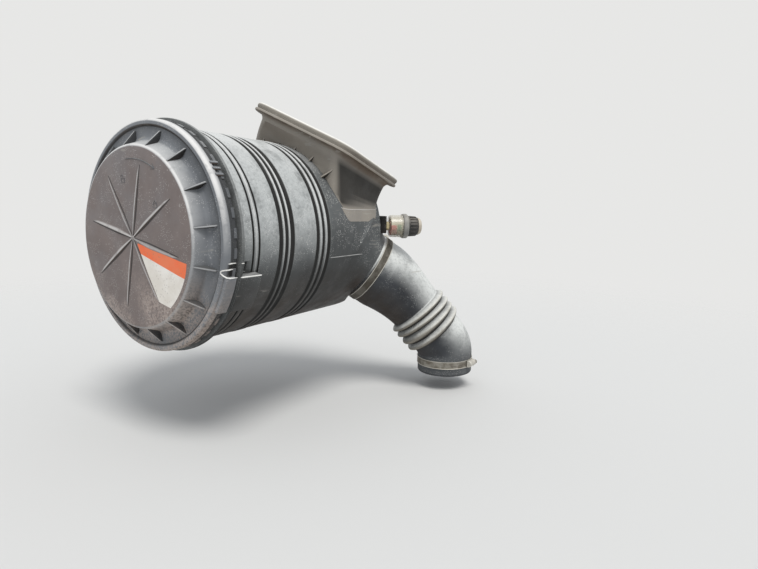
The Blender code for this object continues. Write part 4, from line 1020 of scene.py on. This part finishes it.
HOSE_SIDES, LINE_STEPS = 96, 80
BELLOWS_HALF = BELLOWS_FOLDS * BELLOWS_PITCH / 2


def hose_line():
    """Middle line of the hose: straight in the cuff and the collar, bent between."""
    bend = OUTLET_POINT + OUTLET_AXIS * SPIGOT_END
    fold = Vector((0.36, -0.52, -0.775)).normalized()
    collar = HOSE_END - ENGINE_AXIS * ENGINE_COLLAR
    stops = [(OUTLET_POINT + OUTLET_AXIS * 5 * MM, OUTLET_AXIS), (bend, OUTLET_AXIS), (BELLOWS_MIDDLE, fold),
             (collar, ENGINE_AXIS), (HOSE_END, ENGINE_AXIS)]
    points = []
    for (p0, t0), (p1, t1) in zip(stops, stops[1:]):
        size = (p1 - p0).length
        for t in (k / LINE_STEPS for k in range(LINE_STEPS)):
            t2, t3 = t * t, t * t * t
            points.append(p0 * (2 * t3 - 3 * t2 + 1) + t0 * size * (t3 - 2 * t2 + t)
                          + p1 * (3 * t2 - 2 * t3) + t1 * size * (t3 - t2))
    return points + [HOSE_END.copy()]


def hose_radius(s, middle):
    """Outer radius at a distance along the hose, whose bellows lie round a middle."""
    cuff_end, bellows = SPIGOT_END - 5 * MM, middle - BELLOWS_HALF
    if s < cuff_end:
        return CUFF_R
    if s < bellows:
        t = min(1.0, (s - cuff_end) / (bellows - cuff_end))
        return CUFF_R + (TUBE_R - CUFF_R) * (0.62 * t + 0.38 * t * t * (3 - 2 * t))
    if s < middle + BELLOWS_HALF:
        wave = 0.5 - 0.5 * math.cos(2 * math.pi * (s - bellows) / BELLOWS_PITCH)
        return TUBE_R + (BELLOWS_R - TUBE_R) * wave ** 0.62
    return TUBE_R + (HOSE_END_R - TUBE_R) * min(1.0, (s - middle - BELLOWS_HALF) / (20 * MM))


def make_hose(mat):
    points = hose_line()
    lengths = [0.0]
    for a, b in zip(points, points[1:]):
        lengths.append(lengths[-1] + (b - a).length)
    total, middle = lengths[-1], lengths[2 * LINE_STEPS]
    count = round(total / (1.6 * MM))
    side = OUTLET_AXIS.cross(Vector((0, 0, 1)))
    outer, inner = [], []
    i = 1
    for n in range(count + 1):
        s = total * n / count
        while lengths[i] < s and i < len(lengths) - 1:
            i += 1
        centre = points[i - 1].lerp(points[i], (s - lengths[i - 1]) / (lengths[i] - lengths[i - 1]))
        along = (points[i] - points[i - 1]).normalized()
        side = (side - along * side.dot(along)).normalized()
        other = along.cross(side)
        r = hose_radius(s, middle)
        end, wall = (1.0, HOSE_WALL * 0.95) if 0 < n < count else (0.985, HOSE_WALL)
        for rows, radius in ((outer, r * end), (inner, r - wall)):
            rows.append([centre + (side * math.cos(a) + other * math.sin(a)) * radius
                         for a in circle(HOSE_SIDES)])
    hose = loft("hose_rubber", outer + inner[::-1], wrap=True, sharp_angle=50)

    def on_bellows(law):
        """A layer that is law(0 in a fold to 1 on a crest) on the bellows and 0 elsewhere."""
        def value(vert):
            s = total * (vert.index // HOSE_SIDES) / count
            if abs(s - middle) >= BELLOWS_HALF:
                return 0.0
            return law((hose_radius(s, middle) - TUBE_R) / (BELLOWS_R - TUBE_R))
        return value

    # painted shade in the bellows' folds and a painted highlight on their crests
    paint(hose, groove=on_bellows(lambda out: 0.65 * (1 - out) ** 2),
          edge=on_bellows(lambda out: 0.42 * out ** 3))
    dress(hose, "base", "hose_rubber", mat, "outlet_hose")


# Hose clamps

def make_clamp(name, centre, axis, radius, angle, mats):
    """Worm drive clamp: pressed band with rolled edges and thread slots, saddle and hexagon screw."""
    place = frame_along(axis, centre)
    half, inner, outer = BAND_HALF, radius + GAP, radius + GAP + BAND_THICK
    middle = outer - 0.4 * MM
    profile = [(-half, inner), (-half, outer), (-half + 0.9 * MM, outer), (-half + 1.3 * MM, middle),
               (half - 1.3 * MM, middle), (half - 0.9 * MM, outer), (half, outer), (half, inner)]
    strap = [turned("strap", profile, 120, place)]
    turn = place @ spin(-angle)
    for k in range(-22, 23):
        slot = box("slot", (-3.6 * MM, -0.55 * MM, outer - 0.7 * MM), (3.6 * MM, 0.55 * MM, outer - 0.1 * MM),
                   turn @ spin(-3.1 * k) @ Matrix.Rotation(math.radians(8), 4, "Z"))
        strap.append(bevel(slot, 0.25 * MM, 1))
    strap = merge(name + "_strap", strap)
    # painted highlight along the band's rolled edges
    paint(strap, edge=lambda vert: 0.8 if abs(local(vert, CANISTER @ place).x) > half - 1.1 * MM else 0.0)
    dress(strap, "base", "band_steel", mats["band"], name + "_band")

    low, reach, height, width = outer + GAP, 11 * MM, 9 * MM, half - 0.4 * MM
    slope = [(1.0, 0.42), (0.8, 0.72), (0.45, 0.93), (0.0, 1.0)]          # shares of width and height
    section = [(-width, 0.0), (width, 0.0)] + [(x * width, z * height) for x, z in slope]
    section += [(-x * width, z * height) for x, z in slope[-2::-1]]
    rings = [[Vector((x * share, y, low + z * share)) for x, z in section] for y, share in
             ((-reach, 0.94), (-reach + MM, 1.0), (-0.4 * reach, 1.0), (-0.35 * reach, 0.95),
              (0.35 * reach, 0.95), (0.4 * reach, 1.0), (reach - MM, 1.0), (reach, 0.94))]
    saddle = loft(name + "_saddle", rings, turn, sharp_angle=40)
    # the whole saddle painted part way to a highlight
    paint(saddle, edge=0.25)
    dress(saddle, "base", "band_steel", mats["bright"], name + "_screw_housing")

    screw_place = turn @ frame_along(Vector((0, 1, 0)), Vector((0, 0, low + 5 * MM)))
    thread = [(-reach + 1.6 * MM, 2.6 * MM)]
    for x in (-reach + 2.2 * MM + k * 1.75 * MM for k in range(12)):
        thread += [(x, 2.5 * MM), (x + 0.8 * MM, 3.1 * MM)]
    head = reach + GAP
    thread += [(head, 3.1 * MM), (head, 4.3 * MM), (head + 0.8 * MM, 4.3 * MM)]
    hexagon = [(head + 0.6 * MM, 4.2 * MM), (head + 5 * MM, 4.2 * MM), (head + 5.7 * MM, 3.4 * MM)]
    hexagon = turned("hexagon", capped(hexagon), 6, screw_place)
    boolean(hexagon, "DIFFERENCE", box("slit", (head + 4.6 * MM, -0.5 * MM, -5 * MM),
                                       (head + 7 * MM, 0.5 * MM, 5 * MM), screw_place))
    screw = merge(name + "_worm", [turned("thread", capped(thread), 32, screw_place), hexagon])
    # the whole screw painted part way to a highlight
    paint(screw, edge=0.3)
    dress(screw, "base", "bolt_zinc", mats["zinc"], name + "_screw")


# Restriction indicator

def make_indicator(mats):
    """Clear window over a printed scale, collar, ribbed crown and reset button, from the block out."""
    place = frame_along(INDICATOR_AXIS, INDICATOR_POINT)
    r, t, rib_count = 20 * MM, 2 * MM, 18                                 # radius, wall, ribs on the crown
    body, ring, cap, button = 24 * MM, 34 * MM, 53 * MM, 60 * MM          # stations where each one ends

    def part(name, slot, mat, outline, node, ribs=(), steps=4):
        piece = turned(name, rounded(outline, steps), 72, place)
        if ribs:
            piece = merge(name, [piece, *ribs])
        dress(piece, "base", slot, mats[mat], node)
        return piece

    part("indicator_window", "indicator_clear", "clear",
         capped([(0, r - t, MM), (t, r, 1.5 * MM), (body - 3 * MM, r + 0.4 * MM, MM),
                 (body - 2.4 * MM, r + t / 2, 0.5 * MM), (body, r + t / 2, 0.4 * MM), (body, r - t, 0),
                 (t, r - 1.5 * t, 0)]), "indicator_body")
    scale = part("indicator_scale", "gauge_red", "gauge",
                 capped([(t + GAP, r - 2 * t, MM)]
                        + [(share * body, r - 2 * t, 0) for share in (0.3, 0.45, 0.6, 0.75)]
                        + [(body - t / 2, r - 2 * t, 0)]), "indicator_gauge", steps=2)

    def red(vert):
        p = local(vert, CANISTER @ place)
        return 1.0 if p.z < 2 * MM and p.x < 0.5 * body else 0.0

    def green(vert):
        p = local(vert, CANISTER @ place)
        return 1.0 if abs(p.z + 3 * MM) < 6 * MM and 0.55 * body < p.x < 0.8 * body else 0.0

    paint(scale, red=red, green=green)
    part("indicator_collar", "indicator_grey", "grey",
         [(body + GAP, r - 3 * t, 0), (body + GAP, r + t, MM), (body + 2.2 * MM, r + 1.25 * t, MM),
          (ring - t, r + 1.25 * t, MM), (ring, r + t / 2, MM), (ring, r - 3 * t, 0)], "indicator_ring")
    rib = [(ring + 3 * MM, r - 2.2 * t), (ring + 3 * MM, r - t / 2), (cap - 3 * MM, r - t),
           (cap - MM, r - 2 * t)]
    part("indicator_crown", "indicator_black", "black",
         capped([(body + GAP, r - 3 * t - GAP, 0), (ring + GAP, r - 3 * t - GAP, 0),
                 (ring + GAP, r - t / 2, 0.5 * MM), (ring + 3 * MM, r - t / 2, MM),
                 (ring + 4 * MM, r - 1.3 * t, MM), (cap - 2 * t, r - 1.4 * t, 3 * MM),
                 (cap, r - 1.9 * t, 2 * MM)]), "indicator_cap",
         [fin(place @ spin(90 - 360 / rib_count * k), rib, 1.3 * MM, 0.5 * MM) for k in range(rib_count)])
    part("indicator_reset", "button_tan", "button",
         [(cap + GAP, 0, 0), (cap + GAP, 15.8 * MM, 0.5 * MM), (cap + 2.5 * MM, 15.8 * MM, MM),
          (cap + 3 * MM, 14.6 * MM, MM), (button - 2 * MM, 14.2 * MM, 2 * MM), (button, 12 * MM, 3 * MM),
          (button - 0.5 * MM, 6 * MM, 2 * MM), (button - 0.7 * MM, 0, 0)], "indicator_button")


# Bolts and filter element

def make_bolts(mat):
    seat = FOOT_FACE + 2 * GAP + BRACKET_THICK
    places = [(x, side * FOOT_Z) for x in FOOT_STATIONS for side in (-1, 1)]
    shank = capped([(-20 * MM, 4 * MM), (-19 * MM, 5 * MM), (0.2 * MM, 5 * MM)])
    washer = rounded(capped([(0, 8.5 * MM, 0.3 * MM), (1.4 * MM, 8.4 * MM, 0.4 * MM),
                             (1.6 * MM, 7.4 * MM, 0.3 * MM)]))
    head = capped([(1.4 * MM, 7.9 * MM), (5.2 * MM, 7.9 * MM), (6 * MM, 6.6 * MM)])
    for number, (x, z) in enumerate(places, 1):
        place = frame_along(Vector((0, 1, 0)), Vector((x, seat, z)))
        bolt = merge(f"bracket_screw_{number}",
                     [turned("shank", shank, 32, place), turned("washer", washer, 48, place),
                      bevel(turned("head", head, 6, place), 0.4 * MM)])
        dress(bolt, "base", "bolt_zinc", mat, f"mount_bolt_{number}")


def make_element(mat, cap_mat):
    """Pleated paper between moulded end caps."""
    back, front = SHELL_END - WALL - GAP, ELEMENT_START + ELEMENT_CAP
    pleats, depth = 110, 7 * MM
    stations = (front - MM, 0.10, 0.20, 0.30, back - ELEMENT_CAP + MM)
    outside, bore = [], []
    for x in stations:
        outside.append([radial(180 * k / pleats, ELEMENT_R - MM - k % 2 * depth, x)
                        for k in range(2 * pleats)])
        bore.append([radial(180 * k / pleats, ELEMENT_BORE, x) for k in range(2 * pleats)])
    paper = loft("element_pleats", outside + bore[::-1], wrap=True, sharp_angle=20)
    dress(paper, "base", "element_paper", mat, "filter_element")
    front_cap = rounded(capped([(ELEMENT_START, ELEMENT_R, 4 * MM), (front, ELEMENT_R, MM)]))
    rear_cap = rounded([(back - ELEMENT_CAP, ELEMENT_BORE, 0), (back - ELEMENT_CAP, ELEMENT_R, MM),
                        (back, ELEMENT_R, 3 * MM), (back, ELEMENT_BORE, 0)])
    caps = merge("element_caps", [turned("front", front_cap, 96), turned("rear", rear_cap, 96)])
    dress(caps, "base", "element_paper", cap_mat)


def finish_nodes(finishes):
    """CAD nodes whose shape stays get rounded edges and a material of their own."""
    for name, mat, width in finishes:
        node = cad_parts[name]
        for slot in node.material_slots:
            slot.material = mat
        add_bevel(node, width, 2, 40)


# Camera, light and floor

# the camera was fitted to the ellipses of cover, ring and housing in the photo
YAW, PITCH, ROLL = math.radians(34.49), math.radians(-8.165), math.radians(1.031)
CAMERA_POINT = CANISTER @ Vector((-0.4616, -0.7373, 0.0549))
SENSOR, LENS = 36.0, 26.99
SUN_FROM, SUN_STRENGTH, SUN_SPREAD = (-0.45, -0.7, 1.5), 2.0, 24
SUN_COLOUR, SKY_COLOUR, SKY_STRENGTH = (1.0, 0.985, 0.96), (0.93, 0.96, 1.0), 0.66
BACKDROP_COLOUR, FLOOR_COLOUR = (0.80, 0.80, 0.79), (0.66, 0.66, 0.65)
FLOOR_CENTRE = (0.0, -0.2, -0.305)
FLOOR_SIDES, FLOOR_RADII, FLOOR_FADE = 96, (0.5, 1.0, 1.5, 2.0, 2.6), (0.7, 2.4)


def make_camera():
    forward = Vector((math.cos(PITCH) * math.cos(YAW), math.cos(PITCH) * math.sin(YAW), math.sin(PITCH)))
    right = Matrix.Rotation(-ROLL, 3, forward) @ forward.cross(Vector((0, 0, 1))).normalized()
    up = right.cross(forward)
    data = bpy.data.cameras.new("camera")
    data.sensor_width, data.lens, data.clip_start = SENSOR, LENS, 0.02
    camera = add_object("camera", data)
    turn = Matrix((right, up, -forward)).transposed().to_4x4()
    camera.matrix_world = Matrix.Translation(CAMERA_POINT) @ turn
    bpy.context.scene.camera = camera


def make_light():
    """A wide soft sun, an even sky, and a pale backdrop for the camera, gloss and clear parts only."""
    data = bpy.data.lights.new("key", "SUN")
    data.energy, data.angle, data.color = SUN_STRENGTH, math.radians(SUN_SPREAD), SUN_COLOUR
    sun = add_object("key", data)
    sun.matrix_world = Vector(SUN_FROM).to_track_quat("Z", "Y").to_matrix().to_4x4()
    world = bpy.data.worlds.new("studio")
    bpy.context.scene.world = world
    world.use_nodes = True
    tree = world.node_tree
    sky = add_node(tree, "Background", {"Color": SKY_COLOUR, "Strength": SKY_STRENGTH})
    path = tree.nodes.new("ShaderNodeLightPath")
    seen = path.outputs["Is Camera Ray"]
    for ray in ("Is Glossy Ray", "Is Transmission Ray"):
        seen = add_node(tree, "Math", {0: seen, 1: path.outputs[ray]}, operation="MAXIMUM")
    backdrop = add_node(tree, "Background", {"Color": BACKDROP_COLOUR})
    mixed = add_node(tree, "MixShader", {0: seen, 1: sky, 2: backdrop})
    feed(tree, tree.nodes["World Output"].inputs["Surface"], mixed)


def make_floor():
    """A pale disc that fades out into the backdrop."""
    verts, faces = [(0, 0, 0)], []
    for r in FLOOR_RADII:
        verts += [(r * math.cos(t), r * math.sin(t), 0) for t in circle(FLOOR_SIDES)]
    for k in range(FLOOR_SIDES):
        j = (k + 1) % FLOOR_SIDES
        faces.append((0, 1 + k, 1 + j))
        for row in range(len(FLOOR_RADII) - 1):
            a, b = 1 + row * FLOOR_SIDES, 1 + (row + 1) * FLOOR_SIDES
            faces.append((a + k, b + k, b + j, a + j))
    mesh = bpy.data.meshes.new("floor")
    mesh.from_pydata(verts, [], faces)
    floor = add_object("floor", mesh)
    floor.location = FLOOR_CENTRE
    p = Paint("floor_paper", 0.9, 0.0, 0.1)
    mesh.materials.append(p.done(FLOOR_COLOUR))
    far = p.add("VectorMath", {0: p.point}, "Value", operation="LENGTH")
    faded = p.add("MixShader", {0: p.span(far, *FLOOR_FADE), 1: p.shader.outputs[0],
                                2: p.add("BsdfTransparent", {})})
    feed(p.tree, p.tree.nodes["Material Output"].inputs["Surface"], faded)


def main():
    make_camera()
    make_light()
    make_floor()
    bpy.context.scene.view_settings.view_transform = "Standard"

    shell = weathered("shell_plastic", "393b3c", "4c4f50", "bcbfbe", "342b24", 0.95, 0.8,
                      film=(-0.38, 0.3), thin_after=0.022, dust_and_top_highlight=0.5)
    cover = weathered("cover_plastic", "6d7074", "7f8286", "b9bbbb", "66584d", 0.6, 0.45, film=(0.35, 1.0),
                      low_dust=0.65, face=("736966", "817672"), dust_and_top_highlight=0.15)
    duct = weathered("duct_plastic", "8c8780", "9c958b", "a9a298", "5a4a3b", 0.4, 0.2, dust_and_top_highlight=0.1)
    seal = weathered("seal_foam", "807b73", "8f897f", "c9c4ba", "6a6158", 0.6, 0.2, (0.75, 0.9), 0.4,
                     film=(0.3, 1.0), dust_and_top_highlight=0.3, highlight_tone="f2f0ea")
    hose = weathered("hose_rubber", "2a2c30", "3c3f43", "dcdedb", "3a3129", 0.95, 0.45, (0.6, 0.85),
                     film=(-0.12, 0.56), dust_and_top_highlight=0.45, highlight_tone="cbc4b4")
    bright_edges = plain("worn_plastic", "f0efeb", "cfcdc8", 120.0, 0.55)
    zinc = steel("zinc_screw", "b2aea4", "6b6459", 0.34, 0.7)
    cuff_steel = {"band": steel("cuff_band", "77736b", "4c473f", 0.5, 0.9, 0.6), "zinc": zinc,
                  "bright": steel("clamp_saddle", "dedbd2", "a39c90", 0.3, 0.4, 0.6)}
    engine_steel = {**cuff_steel, "band": steel("clamp_band", "a8a49b", "6b6459", 0.42, 0.85, 0.7)}
    indicator = {"clear": clear_paint(), "gauge": gauge_paint(),
                 "grey": plain("indicator_grey", "7c7b78", "93918c", 60.0, 0.5, dust="b0aca3"),
                 "black": plain("indicator_black", "2b2a29", "3b3937", 60.0, 0.45, dust="8b857c"),
                 "button": plain("reset_button", "c4bbaa", "a3988a", 50.0, 0.6, dust="d8d4ca")}

    make_housing(shell, bright_edges)
    make_cover(cover, label_paint(), bright_edges)
    make_duct(duct)
    make_seal(seal)
    make_hose(hose)
    make_clamp("cuff_clamp", OUTLET_POINT + OUTLET_AXIS * 16 * MM, OUTLET_AXIS, CUFF_R, -25.0, cuff_steel)
    make_clamp("engine_clamp", HOSE_END - ENGINE_AXIS * 22 * MM, ENGINE_AXIS, HOSE_END_R, 90.0, engine_steel)
    make_indicator(indicator)
    make_bolts(zinc)
    make_element(plain("filter_paper", "b59f74", "a08a62", 40.0, 0.9, 0.2),
                 plain("filter_cap", "4a463f", "5a554c", 30.0, 0.8, dust="8b857c"))
    finish_nodes([
        ("mount_bracket", plain("bracket_paint", "202122", "30302e", 25.0, 0.42, 0.1, "6f675c"), 0.7 * MM),
        ("indicator_block", plain("block_black", "232323", "343230", 50.0, 0.5, 0.1, "8b857c"), 0.8 * MM),
        ("indicator_hex", plain("fitting_cream", "c4b78f", "a69a78", 70.0, 0.5, 0.06, "b0a68c"), 0.4 * MM)])


main()
